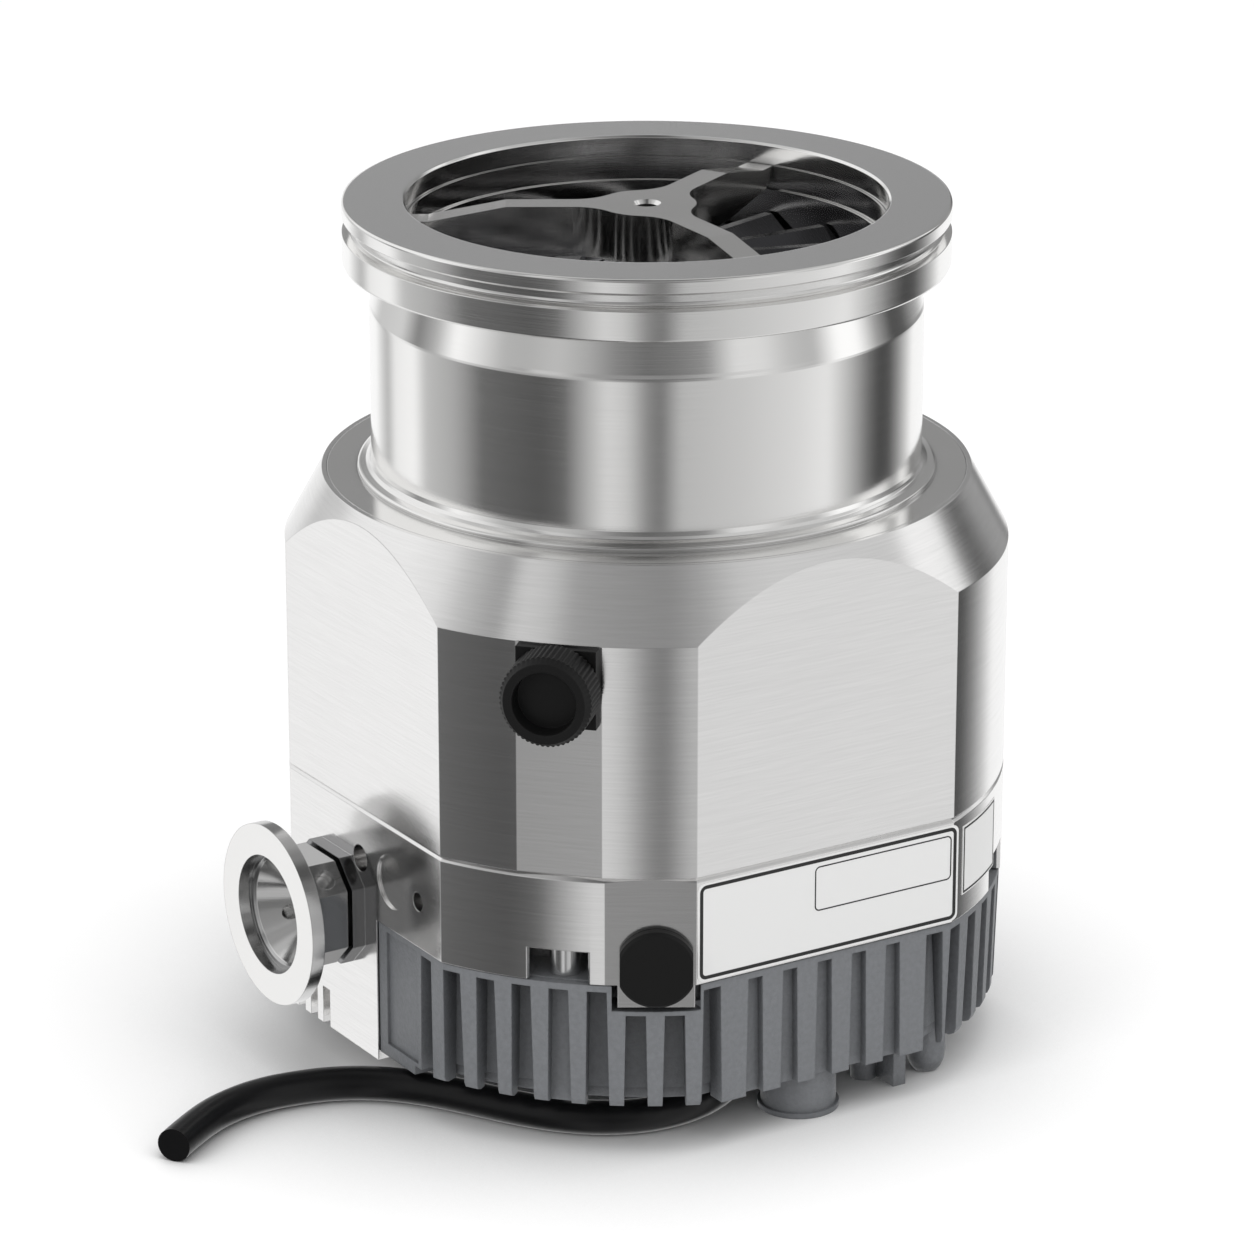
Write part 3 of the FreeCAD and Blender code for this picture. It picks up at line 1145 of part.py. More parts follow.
def make_underside():
    face = "flat_at - house_flat_inset - fin_deep - 0.4"
    outline = common("cover_outline", [
        rod("cover_round", "house_foot_r - fin_deep - 0.6", "cover_t", z="house_wall_z - cover_t"),
        prism("cover_square", rectangle("0 - (%s)" % face, face, "0 - (%s)" % face, face),
              "house_wall_z - cover_t", "cover_t")])
    holes = [rod("cover_bore", "cap_r + 0.3", "20", z="0"),
             block("cover_plate_gap", "60", "plate_from + plate_to + 1", "20",
                   "0 - flat_at + plate_t + 0.4 - 60", "0 - plate_from - 0.5", "0")]
    screws = []
    for number in range(4):
        angle = "45 + 90 * %d" % number
        holes.append(polar("cover_hole_%d" % number, "cover_screw_r + 0.2", "10", "cover_screw_at", angle,
                           "house_wall_z - 5"))
        screws.append(fuse("cover_screw_%d" % number, [
            polar("cover_shank_%d" % number, "cover_screw_r", "cover_t + 8", "cover_screw_at", angle,
                  "house_wall_z - cover_t"),
            polar("cover_head_%d" % number, "cover_screw_r + 1.3", "1.6", "cover_screw_at", angle,
                  "house_wall_z - cover_t - 1.6")]))
    piece("bottom_cover", cut("cover_cut", outline, group("cover_tools", holes)))
    piece("cover_screws", group("cover_screw_set", screws))
    for number in range(3):
        angle = "foot_first + 120 * %d" % number
        top = "house_wall_z - cover_t"
        column = fuse("foot_fused_%d" % number, [
            polar("foot_lip_%d" % number, "foot_r", "foot_lip", "foot_at", angle, "0"),
            polar("foot_column_%d" % number, "foot_r - 0.7", "house_foot_z - 0.2", "foot_at", angle, "0"),
            polar("foot_neck_%d" % number, "foot_r - 3", top, "foot_at", angle, "0")])
        hole = polar("foot_hole_%d" % number, "foot_hole_r", "foot_hole_deep + 1", "foot_at", angle, "0 - 1")
        piece("foot_%d" % (number + 1), cut("foot_cut_%d" % number, column, hole))
    top = "house_wall_z - cover_t"
    rest = fuse("rest_block_fused", [
        block("rest_block_body", "block_t", "block_l", top, "block_x - block_t / 2", "block_y - block_l / 2", "0"),
        pin_cone("rest_bump", "2.8", "3.2", top, "block_x - 3.6", "block_y + 3", "0")])
    piece("support_block", rest)
    piece("support_post", turned_post())


def make_board():
    board = cut("board_cut", rod("board_round", "58", "board_t", z="board_z"), group("board_tools", [
        rod("board_bore", "house_bore_r", "10", z="board_z - 5"),
        block("board_gap", "60", "plate_from + plate_to + 2", "10", "0 - 96", "0 - plate_from - 1",
              "board_z - 5")]))
    spacers = [polar("board_stand_%d" % number, "3", "body_z - house_web - board_z - board_t", "48",
                     "80 * %d - 110" % number, "board_z + board_t") for number in range(4)]
    piece("control_board", fuse("board_with_stands", [board] + spacers))
    top = "board_z"
    parts = []
    for number, angle in enumerate((-70, -48, -26)):
        parts.append(polar("capacitor_%d" % number, "5", "9", "45", str(angle), top + " - 9"))
    for number, (x, y, length, width, height) in enumerate((
            ("38", "6", "12", "16", "7"), ("14", "38", "18", "10", "6"), ("0 - 22", "38", "14", "12", "5"),
            ("0 - 30", "0 - 50", "16", "10", "8"))):
        parts.append(block("module_%d" % number, length, width, height, x, y, "%s - %s" % (top, height)))
    parts.append(cut("choke", polar("choke_outer", "6.5", "6", "45", "122", top + " - 6"),
                     polar("choke_hole", "2.6", "6", "45", "122", top + " - 6")))
    piece("board_components", group("board_component_set", parts))


# The cable's route on the floor: points chosen by hand, from the gland to the cut end.
CABLE_ROUTE = [
    (1.0, -39.0), (-6.1, -46.1), (-14.0, -52.2), (-23.3, -55.8), (-33.3, -55.8), (-42.6, -52.2),
    (-50.2, -45.7), (-56.1, -37.6), (-61.2, -28.6), (-66.6, -19.4), (-73.2, -11.6), (-81.2, -6.2),
    (-90.0, -3.4), (-99.4, -2.4), (-109.6, -4.6), (-118.6, -9.4), (-127.1, -15.7)]


def make_gland():
    """The gland lies under the cover and points the cable out level, towards the front left."""
    bearing = "0 - 135"
    top = "house_wall_z - cover_t"
    start = CABLE_ROUTE[0]
    body = prism("gland_block", rectangle("0 - gland_w", "0 - 4", "0 - gland_w / 2", "gland_w / 2"),
                 "0.6", top + " - 0.6")
    sleeve = new_body("gland_sleeve")
    revolve(sleeve, "gland_sleeve_turn", [
        ("0 - 5", "0"), ("0 - 0.3", "0"), ("0 - 0.3", "cable_r - 0.2"), ("0 - 4", "cable_r"), ("0 - 5", "cable_r")],
        "H_Axis")
    for item in (body, sleeve):
        turn_about_z(item, bearing)
        item.Placement.Base = Vector(start[0], start[1], 0)
    bind(sleeve, z="cable_r + 0.05")
    piece("cable_gland", fuse("gland_fused", [body, sleeve]))


def make_cable():
    """A round tube along level runs joined by arcs as large as the runs allow."""
    radius = value("cable_r")
    height = radius + 0.05
    points = [Vector(x, y, height) for x, y in CABLE_ROUTE]
    edges = []
    radii = []
    start = points[0]
    for before, corner, after in zip(points, points[1:], points[2:]):
        back = (before - corner).normalize()
        ahead = (after - corner).normalize()
        half_turn = (math.pi - back.getAngle(ahead)) / 2
        reach = 0.45 * min((before - corner).Length, (after - corner).Length)
        bend = reach / math.tan(half_turn)
        radii.append(bend)
        into = corner + back * reach
        out = corner + ahead * reach
        middle_way = (back + ahead).normalize()
        middle = corner + middle_way * (bend / math.cos(half_turn) - bend)
        edges.append(Part.LineSegment(start, into).toShape())
        edges.append(Part.Arc(into, middle, out).toShape())
        start = out
    edges.append(Part.LineSegment(start, points[-1]).toShape())
    path = Part.Wire(edges)
    section = Part.Wire(Part.makeCircle(radius, points[0], points[1] - points[0]))
    tube = path.makePipeShell([section], True, False)
    feature = doc.addObject("Part::Feature", "cable_tube")
    feature.Shape = tube
    print("cable length %.1f mm, radii %s" % (path.Length, ["%.1f" % bend for bend in radii]))
    print("cable volume ratio %.4f" % (tube.Volume / (path.Length * math.pi * radius ** 2)))
    piece("power_cable", feature)


make_envelope()
make_upper_body()
make_lower_body()
make_spider()
make_magnets()
make_rotor()
make_stators()
make_drag_stage()
make_shaft()
make_motor()
make_bearing()
make_oil_supply()
make_backing_port()
make_vent_valve()
make_purge_plug()
make_screws()
make_housing()
make_underside()
make_board()
make_gland()
make_cable()
doc.recompute()

for item in doc.Objects:
    if "Invalid" in item.State or "Error" in item.State:
        raise RuntimeError("%s failed: %s" % (item.Label, item.State))
for name, item in pieces.items():
    if item.Shape.isNull() or not item.Shape.isValid() or not item.Shape.Solids:
        raise RuntimeError("%s has no sound solid" % name)

os.makedirs("parts", exist_ok=True)
for name, item in pieces.items():
    item.Shape.exportStep("parts/%s.step" % name)
print("%d pieces" % len(pieces))
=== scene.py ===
# %% [markdown]
# # Turbomolecular pump
# The pump is built round a fixed frame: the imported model, in metres, with z = 0 on the floor,
# the inlet on top, the backing port towards -X and the label side towards -Y.
# Polished metal shows every facet, so the large turned pieces are made here again, finely,
# in the places of the frame's plain ones. The rest of the frame keeps its shape and gets finishes.

# %% Load the frame
import json
import math

import bmesh
import bpy
from mathutils import Matrix, Vector


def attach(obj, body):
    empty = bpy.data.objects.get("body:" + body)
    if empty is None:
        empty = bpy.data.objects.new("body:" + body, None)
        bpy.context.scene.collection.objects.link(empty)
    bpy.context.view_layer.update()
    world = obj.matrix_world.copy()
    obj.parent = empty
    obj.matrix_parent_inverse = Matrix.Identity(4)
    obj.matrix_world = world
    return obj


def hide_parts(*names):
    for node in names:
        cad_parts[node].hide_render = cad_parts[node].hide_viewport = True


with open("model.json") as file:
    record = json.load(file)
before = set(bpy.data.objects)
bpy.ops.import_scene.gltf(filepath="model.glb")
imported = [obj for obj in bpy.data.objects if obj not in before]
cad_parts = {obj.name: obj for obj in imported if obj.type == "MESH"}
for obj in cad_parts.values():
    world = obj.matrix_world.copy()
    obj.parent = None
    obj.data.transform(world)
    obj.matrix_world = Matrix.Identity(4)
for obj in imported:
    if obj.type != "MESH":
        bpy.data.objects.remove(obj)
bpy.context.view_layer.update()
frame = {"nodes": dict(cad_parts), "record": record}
nodes = frame["nodes"]
scene = bpy.context.scene
scene.view_settings.view_transform = "Standard"
MM = 0.001

# %% [markdown]
# ## Camera
# A long lens from the front left, a little above the inlet, keeps the upright edges nearly
# parallel. The camera's place, its aim and the lens were worked out from the round flanges, whose
# real sizes are known, so that every piece falls where the photograph shows it.

# %% Camera
EYE = Vector((-0.62927, -0.99875, 0.50639))
AIM = Vector((0.49997, 0.79985, -0.33208))
camera = bpy.data.objects.new("camera", bpy.data.cameras.new("camera"))
scene.collection.objects.link(camera)
camera.data.lens = 164.55
camera.data.sensor_width = 36
camera.data.clip_end = 20
camera.location = EYE
camera.rotation_euler = AIM.to_track_quat("-Z", "Y").to_euler()
scene.camera = camera
print("camera looks down", round(math.degrees(math.asin(-AIM.normalized().z)), 2), "degrees")

# %% [markdown]
# ## Studio
# Polished metal has hardly a colour of its own: it shows the room. A studio for such a product is
# a white room with dark flags and bright panels standing round it, so each upright wall of the
# metal picks up bands of light and dark. Here the room is the world's own shader: four lists of
# bands, from low in the room to right overhead, each by compass angle, and soft steps between.
# Only reflections see the bands. The lens sees white, and matt surfaces get one even light.

# %% Studio bands: (degrees to the right of the lens's standpoint, brightness)
LOW_BANDS = [
    (-180, 1.0), (-152, 1.02), (-144, 0.74), (-136, 0.46), (-128, 0.9), (-112, 1.0),
    (-104, 0.55), (-88, 0.43), (-80, 0.3), (-72, 0.13), (-44, 0.08), (-34, 0.12), (-24, 0.46),
    (-16, 0.73), (-8, 0.62), (0, 0.27), (6, 0.16), (14, 0.52), (40, 0.6), (64, 0.73), (80, 0.86),
    (96, 0.38), (104, 0.16), (112, 0.06), (120, 0.08), (128, 0.29), (136, 0.62), (144, 1.0),
    (180, 1.0)]
MIDDLE_BANDS = [
    (-180, 0.9), (-165, 0.93), (-153, 0.86), (-142, 0.59), (-130, 0.63), (-119, 0.68),
    (-107, 0.21), (-95, 0.47), (-84, 1.06), (-72, 0.78), (-60, 0.48), (-48, 0.46), (-36, 0.54),
    (-24, 0.44), (-12, 0.23), (0, 0.13), (12, 0.18), (24, 0.26), (36, 0.77), (48, 0.76),
    (60, 0.55), (72, 0.47), (84, 1.1), (95, 1.1), (107, 0.37), (119, 0.07), (130, 0.1),
    (142, 0.31), (153, 0.34), (165, 0.1), (180, 0.9)]
HIGH_BANDS = [
    (-180, 0.27), (-166, 0.3), (-150, 0.9), (-90, 0.92), (-74, 0.8), (-67, 0.58), (-51, 0.3),
    (-46, 0.68), (-35, 0.58), (-26, 0.35), (9, 0.26), (20, 0.38), (34, 0.6), (50, 0.66),
    (96, 0.62), (102, 1.0), (116, 0.98), (122, 0.4), (128, 0.5), (132, 1.05), (138, 0.8),
    (144, 0.2), (152, 0.3), (180, 0.27)]
TOP_BANDS = [
    (-180, 0.5), (-116, 0.55), (-90, 0.6), (-67, 0.36), (-47, 0.4), (-35, 0.25), (-22, 0.1),
    (0, 0.08), (50, 0.25), (90, 0.5), (180, 0.5)]
LISTS_ABOVE = ((-0.24, -0.16, MIDDLE_BANDS), (0.13, 0.2, HIGH_BANDS), (0.68, 0.8, TOP_BANDS))
print("studio bands:", [len(bands) for bands in (LOW_BANDS, MIDDLE_BANDS, HIGH_BANDS, TOP_BANDS)])

# %% [markdown]
# ## Shader helpers
# A material or a world is a tree of small nodes that are joined by links. In full, each node takes
# several lines, so a few short helpers add one, set its values and join it to the others. Where a
# helper takes a value, it takes a plain number or colour, or the output of another node.

# %% Shader helpers
def link(tree, source, target):
    tree.links.new(source, target)


def grey(level):
    return (level, level, level, 1)


def node(tree, kind, **settings):
    made = tree.nodes.new("ShaderNode" + kind)
    for name, value in settings.items():
        setattr(made, name, value)
    return made


def math_node(tree, operation, first, second=None):
    made = node(tree, "Math", operation=operation)
    for socket, value in zip(made.inputs, (first, second)):
        if value is None:
            continue
        if isinstance(value, (int, float)):
            socket.default_value = value
        else:
            link(tree, value, socket)
    return made.outputs[0]


def smooth_step(tree, value, low, high):
    """A factor that rises softly from 0 to 1 while the value goes from low to high."""
    step = node(tree, "MapRange", interpolation_type="SMOOTHSTEP")
    link(tree, value, step.inputs["Value"])
    step.inputs["From Min"].default_value = low
    step.inputs["From Max"].default_value = high
    return step


def mixed(tree, factor, first, second):
    """Two colours mixed; each is a plain colour or the output of another node."""
    made = node(tree, "MixRGB")
    link(tree, factor, made.inputs["Fac"])
    for slot, colour in (("Color1", first), ("Color2", second)):
        if isinstance(colour, tuple):
            made.inputs[slot].default_value = colour
        else:
            link(tree, colour, made.inputs[slot])
    return made.outputs[0]


print("shader helpers:", [made.__name__ for made in (node, math_node, smooth_step, mixed)])

# %% [markdown]
# ## The room's shader
# The shader takes each ray's compass angle, looks up its brightness in the lists and goes softly
# from one list to the next as the ray points higher. The angle is counted from the lens's side
# and wrapped to one turn, so that a list reads from left to right.

# %% The room's shader
LENS_SIDE = math.atan2(EYE.x, -EYE.y)
EVEN_LIGHT = 0.72


def band_ramp(tree, factor, bands):
    ramp = node(tree, "ValToRGB")
    stops = ramp.color_ramp.elements
    while len(stops) < len(bands):
        stops.new(0.5)
    for stop, (angle, level) in zip(stops, bands):
        stop.position = (angle + 180) / 360
        stop.color = grey(level)
    link(tree, factor, ramp.inputs[0])
    return ramp.outputs[0]


world = bpy.data.worlds.new("studio")
scene.world = world
world.use_nodes = True
tree = world.node_tree
tree.nodes.clear()
way = node(tree, "SeparateXYZ")
link(tree, node(tree, "TexCoord").outputs["Generated"], way.inputs[0])
ahead = math_node(tree, "MULTIPLY", way.outputs["Y"], -1)
compass = math_node(tree, "ARCTAN2", way.outputs["X"], ahead)
wrapped = math_node(tree, "WRAP", math_node(tree, "SUBTRACT", compass, LENS_SIDE), math.pi)
wrapped.node.inputs[2].default_value = -math.pi
turn = math_node(tree, "ADD", math_node(tree, "DIVIDE", wrapped, 2 * math.pi), 0.5)
room = band_ramp(tree, turn, LOW_BANDS)
for low, high, bands in LISTS_ABOVE:
    rise = smooth_step(tree, way.outputs["Z"], low, high)
    room = mixed(tree, rise.outputs[0], room, band_ramp(tree, turn, bands))
rays = node(tree, "LightPath")
shown = mixed(tree, rays.outputs["Is Glossy Ray"], grey(EVEN_LIGHT), room)
lens_white = mixed(tree, rays.outputs["Is Camera Ray"], shown, grey(1))
backdrop = node(tree, "Background")
link(tree, lens_white, backdrop.inputs["Color"])
link(tree, backdrop.outputs[0], node(tree, "OutputWorld").inputs["Surface"])
print("room: rays count from", round(math.degrees(LENS_SIDE), 1), "degrees, matt light", EVEN_LIGHT)

# %% [markdown]
# ## Floor and lamps
# The floor is white paper that fades into the white room, with the pump's soft shadow on it.
# To the lens a part of the paper's white is a painted glow. It fades under and close to the pump,
# which paints a tighter, darker shadow there. Reflections look past it, so that the bands reach the
# upright walls.
# Two large panels, one above and to the right and a weaker one from the left, give matt
# surfaces a light side and a shaded side.

# %% Floor and lamps
FLOOR_SIZE = 6
LIT_PAPER, LENS_PAPER, PAPER_GLOW = 0.93, 0.68, 0.38
SHADOW_REACH = 0.11
PUMP_MIDDLE = Vector((0, 0, 0.08))

bpy.ops.mesh.primitive_plane_add(size=FLOOR_SIZE)
floor = bpy.context.object
floor.name = "floor"
floor.visible_glossy = False
paper = bpy.data.materials.new("white paper")
paper.use_nodes = True
tree = paper.node_tree
tree.nodes.clear()
plain = node(tree, "BsdfDiffuse")
plain.inputs["Color"].default_value = grey(LIT_PAPER)
seen = node(tree, "BsdfDiffuse")
seen.inputs["Color"].default_value = grey(LENS_PAPER)
# Painted shadow: the glow that the lens sees fades where the pump stands within reach, which
# darkens the paper under and close to it.
openness = node(tree, "AmbientOcclusion", samples=12)
openness.inputs["Distance"].default_value = SHADOW_REACH
lift = smooth_step(tree, openness.outputs["AO"], 0.35, 0.95)
lift.inputs["To Max"].default_value = PAPER_GLOW
glow = node(tree, "Emission")
link(tree, lift.outputs[0], glow.inputs["Strength"])
white = node(tree, "AddShader")
link(tree, seen.outputs[0], white.inputs[0])
link(tree, glow.outputs[0], white.inputs[1])
choose = node(tree, "MixShader")
link(tree, node(tree, "LightPath").outputs["Is Camera Ray"], choose.inputs[0])
link(tree, plain.outputs[0], choose.inputs[1])
link(tree, white.outputs[0], choose.inputs[2])
link(tree, choose.outputs[0], node(tree, "OutputMaterial").inputs["Surface"])
floor.data.materials.append(paper)


def panel(name, place, size, watts):
    lamp = bpy.data.lights.new(name, "AREA")
    lamp.shape = "RECTANGLE"
    lamp.size, lamp.size_y = size
    lamp.energy = watts
    made = bpy.data.objects.new(name, lamp)
    made.location = place
    made.rotation_euler = (PUMP_MIDDLE - Vector(place)).to_track_quat("-Z", "Y").to_euler()
    made.visible_glossy = False
    scene.collection.objects.link(made)
    return made


lamps = [panel("top panel", (0.3, -0.5, 1.6), (1.6, 1.6), 13),
         panel("left panel", (-1.6, -0.4, 0.8), (0.8, 1.2), 6.5)]
print("floor:", FLOOR_SIZE, "m, lamps:", [lamp.name for lamp in lamps])

# %% [markdown]
# ## Finishes
# The metal was turned and brushed, so its grain runs level round the walls and in rings on
# faces. The grain is a noise stretched along the brush's way, which moves the roughness a
# little and tilts the surface by a hair. Cast and moulded finishes take the same noise
# unstretched. Each finish below is a Principled shader with its noise at the real thing's scale.

# %% Materials and noise
FINISHES = {}


def finish(name, colour, metallic, rough):
    """Makes a material, keeps it under its name and gives back its tree and its shader."""
    made = bpy.data.materials.new(name)
    made.use_nodes = True
    shader = made.node_tree.nodes["Principled BSDF"]
    shader.inputs["Base Color"].default_value = (*colour, 1)
    shader.inputs["Metallic"].default_value = metallic
    shader.inputs["Roughness"].default_value = rough
    FINISHES[name] = made
    return made.node_tree, shader


def length_node(tree, first, second):
    squares = [math_node(tree, "MULTIPLY", value, value) for value in (first, second)]
    return math_node(tree, "SQRT", math_node(tree, "ADD", *squares))


def place_vector(tree, stretch, rings=False):
    """Object coordinates in millimetres, stretched; with rings, radius takes the place of x."""
    source = node(tree, "TexCoord").outputs["Object"]
    if rings:
        split = node(tree, "SeparateXYZ")
        link(tree, source, split.inputs[0])
        join = node(tree, "CombineXYZ")
        link(tree, length_node(tree, split.outputs["X"], split.outputs["Y"]), join.inputs["X"])
        link(tree, split.outputs["Z"], join.inputs["Z"])
        source = join.outputs[0]
    scale = node(tree, "VectorMath", operation="MULTIPLY")
    link(tree, source, scale.inputs[0])
    scale.inputs[1].default_value = [1000 * value for value in stretch]
    return scale.outputs[0]


def noise_on(tree, vector, detail=2):
    noise = node(tree, "TexNoise")
    link(tree, vector, noise.inputs["Vector"])
    noise.inputs["Scale"].default_value = 1
    noise.inputs["Detail"].default_value = detail
    return noise.outputs["Fac"]


print("noise: patches of about a millimetre before they are stretched")

# %% [markdown]
# One noise moves the roughness and tilts the surface too, as the strokes of a brush do. The
# light on sharp edges is rounded by a bevel in the shader, because a broken edge of a quarter of
# a millimetre is too fine to model on every piece.

# %% Grain, edges and shades
METAL_RELIEF, CAST_RELIEF = 0.0001, 0.0002


def grain(tree, shader, stretch, rough, spread, tilt, rings=False, detail=3, relief=METAL_RELIEF):
    """Moves the roughness by the spread and tilts the surface, by one noise."""
    noise = noise_on(tree, place_vector(tree, stretch, rings), detail)
    mapped = node(tree, "MapRange")
    link(tree, noise, mapped.inputs["Value"])
    mapped.inputs["From Min"].default_value = 0.25
    mapped.inputs["From Max"].default_value = 0.75
    mapped.inputs["To Min"].default_value = rough - spread
    mapped.inputs["To Max"].default_value = rough + spread
    link(tree, mapped.outputs[0], shader.inputs["Roughness"])
    bump = node(tree, "Bump")
    bump.inputs["Strength"].default_value = tilt
    bump.inputs["Distance"].default_value = relief
    link(tree, noise, bump.inputs["Height"])
    link(tree, bump.outputs[0], shader.inputs["Normal"])
    return bump


def soft_edges(tree, bump, radius):
    """Rounds the light on sharp edges, as a broken edge does."""
    bevel = node(tree, "Bevel", samples=6)
    bevel.inputs["Radius"].default_value = radius
    link(tree, bevel.outputs[0], bump.inputs["Normal"])


def shade_by(tree, shader, factor, dark, light):
    """Mixes two colours into the shader by a factor from 0 to 1."""
    link(tree, mixed(tree, factor, (*dark, 1), (*light, 1)), shader.inputs["Base Color"])


print("relief: metal", METAL_RELIEF, "m, cast", CAST_RELIEF, "m")

# %% [markdown]
# Two kinds of finish come from these: metal, whose grain has a way, and cast, moulded or coated
# surfaces, whose grain has none but which may be mottled, soft or dull.

# %% Metal and cast finishes
METAL_SPREAD, CAST_SPREAD = 0.03, 0.05
STROKE_GRAIN = (0.08, 0.08, 2.4)


def metal(name, colour, rough, stretch, tilt=0.08, rings=False, edge=0.00025, strokes=0.0):
    """A metal finish; strokes lets the brush's strokes show as darker and lighter hairlines."""
    tree, shader = finish(name, colour, 1, rough)
    bump = grain(tree, shader, stretch, rough, METAL_SPREAD, tilt, rings)
    if edge:
        soft_edges(tree, bump, edge)
    if strokes:
        shade_by(tree, shader, noise_on(tree, place_vector(tree, STROKE_GRAIN), 5),
                 [max(0, value - strokes) for value in colour],
                 [min(1, value + strokes) for value in colour])


def cast(name, colour, rough, scale, tilt, specular=0.5, sheen=0.0, mottled=0.0, patch=0.15,
         edge=0.0):
    """A cast, moulded or coated finish; mottled darkens and lightens it in patches."""
    tree, shader = finish(name, colour, 0, rough)
    shader.inputs["Specular IOR Level"].default_value = specular
    shader.inputs["Sheen Weight"].default_value = sheen
    bump = grain(tree, shader, (scale, scale, scale), rough, CAST_SPREAD, tilt, detail=4,
                 relief=CAST_RELIEF)
    if edge:
        soft_edges(tree, bump, edge)
    if mottled:
        shade_by(tree, shader, noise_on(tree, place_vector(tree, (patch, patch, patch))),
                 [value * (1 - mottled) for value in colour],
                 [min(1, value * (1 + mottled)) for value in colour])


print("metal roughness moves by", METAL_SPREAD, "and cast roughness by", CAST_SPREAD)

# %% [markdown]
# ## The list of finishes
# Brushed walls, turned walls and faces, ground steel, dark blades, the grey powder coat of the cast
# housing, moulded black plastic, rubber, felt and film. Each has its own roughness and grain, also
# on the parts that stay inside. The numbers after a colour are its roughness and the grain's
# stretch or scale.

# %% The list of finishes
LEVEL_GRAIN = (0.03, 0.03, 5)
RING_GRAIN = (6, 0, 0.5)
BRIGHT = (0.91, 0.905, 0.895)

metal("brushed aluminium", (0.88, 0.875, 0.87), 0.16, LEVEL_GRAIN, strokes=0.06)
metal("turned aluminium", BRIGHT, 0.14, LEVEL_GRAIN, edge=0)
metal("flange face", (0.88, 0.88, 0.88), 0.2, RING_GRAIN, rings=True)
metal("machined alloy", (0.78, 0.78, 0.79), 0.22, RING_GRAIN, rings=True)
metal("ground steel", (0.8, 0.8, 0.8), 0.2, LEVEL_GRAIN)
metal("dark blades", (0.06, 0.06, 0.064), 0.26, RING_GRAIN, rings=True, edge=0)
metal("port metal", BRIGHT, 0.17, LEVEL_GRAIN)
metal("boss metal", (0.27, 0.27, 0.275), 0.2, LEVEL_GRAIN)
metal("magnet plating", (0.5, 0.5, 0.52), 0.3, LEVEL_GRAIN, edge=0)
metal("laminations", (0.25, 0.25, 0.27), 0.45, (0.1, 0.1, 3), edge=0)
metal("copper wire", (0.75, 0.36, 0.18), 0.35, (0.4, 0.4, 4), tilt=0.4, edge=0)
cast("grey powder coat", (0.175, 0.182, 0.193), 0.5, 1.6, 0.8, mottled=0.16, patch=0.9,
     edge=0.0004)
cast("black plastic", (0.007, 0.007, 0.007), 0.42, 3, 0.12, specular=0.22, edge=0.0003)
cast("rubber", (0.012, 0.012, 0.012), 0.55, 1.5, 0.15)
cast("cable jacket", (0.004, 0.004, 0.0045), 0.33, 0.8, 0.1, specular=0.3)
cast("ivory plastic", (0.6, 0.57, 0.5), 0.4, 2, 0.1)
cast("felt", (0.7, 0.66, 0.56), 0.95, 4, 0.8, sheen=0.3, mottled=0.1)
cast("board", (0.03, 0.14, 0.06), 0.3, 1, 0.1, mottled=0.15)
cast("label film", (0.77, 0.77, 0.765), 0.38, 1.5, 0.04)
cast("label ink", (0.01, 0.01, 0.01), 0.4, 2, 0.05)
print("finishes:", len(FINISHES))

# %% [markdown]
# ## Dressing the frame
# The record names a material slot for each node, and each slot has its finish here. A few nodes
# differ from the rest of their slot: the dark blades, the bright ring and spider in the inlet, and
# the backing port. Only edges sharper than 20 degrees stay sharp.

# %% Dressing the frame
SLOT_FINISH = {
    "polished_aluminium": "brushed aluminium", "brushed_envelope": "turned aluminium",
    "rotor_alloy": "machined alloy", "stator_alloy": "machined alloy", "steel": "ground steel",
    "magnet": "magnet plating", "laminations": "laminations", "copper": "copper wire",
    "grey_housing": "grey powder coat", "black_plastic": "black plastic",
    "ivory_plastic": "ivory plastic", "rubber": "rubber", "felt": "felt", "board": "board",
    "cable_jacket": "cable jacket"}
OWN_FINISH = {
    "bladed_rotor": "dark blades", "stator_disc_1": "dark blades", "stator_disc_2": "dark blades",
    "stator_disc_3": "dark blades", "spacer_ring_1": "turned aluminium",
    "bearing_spider": "turned aluminium", "backing_port": "port metal"}
slot_of = {entry["node"]: entry["material_slot"] for entry in frame["record"]["subparts"]}


def wear(piece, finish_name):
    piece.data.materials.clear()
    piece.data.materials.append(FINISHES[finish_name])


for name, piece in nodes.items():
    wear(piece, OWN_FINISH.get(name, SLOT_FINISH[slot_of[name]]))
    piece.data.shade_smooth()
    piece.data.set_sharp_from_angle(angle=math.radians(20))
print("nodes dressed:", len(nodes), "with a finish of their own:", len(OWN_FINISH))

# %% [markdown]
# ## The port's two tones
# The backing port is one piece whose tone follows the place: bright on the flange face, less in the
# funnel, hardly on the rim, and darker on the square body and in the short centring bore. The
# darker tones are painted shade, and the body is painted dark so that its reflection darkens the
# flat beside the port.

# %% Port tones
PORT_Y, PORT_Z, PORT_FACE = 12.4, 38.0, 88.5
FUNNEL_R, RIM_R = 11.6, 14.5
FUNNEL_TONE, RIM_TONE = 0.5, 0.2
tree = FINISHES["port metal"].node_tree
spot = node(tree, "SeparateXYZ")
link(tree, place_vector(tree, (1, 1, 1)), spot.inputs[0])
reach = length_node(tree, math_node(tree, "ADD", spot.outputs["Y"], -PORT_Y),
                    math_node(tree, "ADD", spot.outputs["Z"], -PORT_Z))
in_funnel = math_node(tree, "MULTIPLY", math_node(tree, "LESS_THAN", reach, FUNNEL_R), FUNNEL_TONE)
on_rim = math_node(tree, "MULTIPLY", math_node(tree, "GREATER_THAN", reach, RIM_R), RIM_TONE)
on_face = math_node(tree, "LESS_THAN", spot.outputs["X"], 0.03 - PORT_FACE)
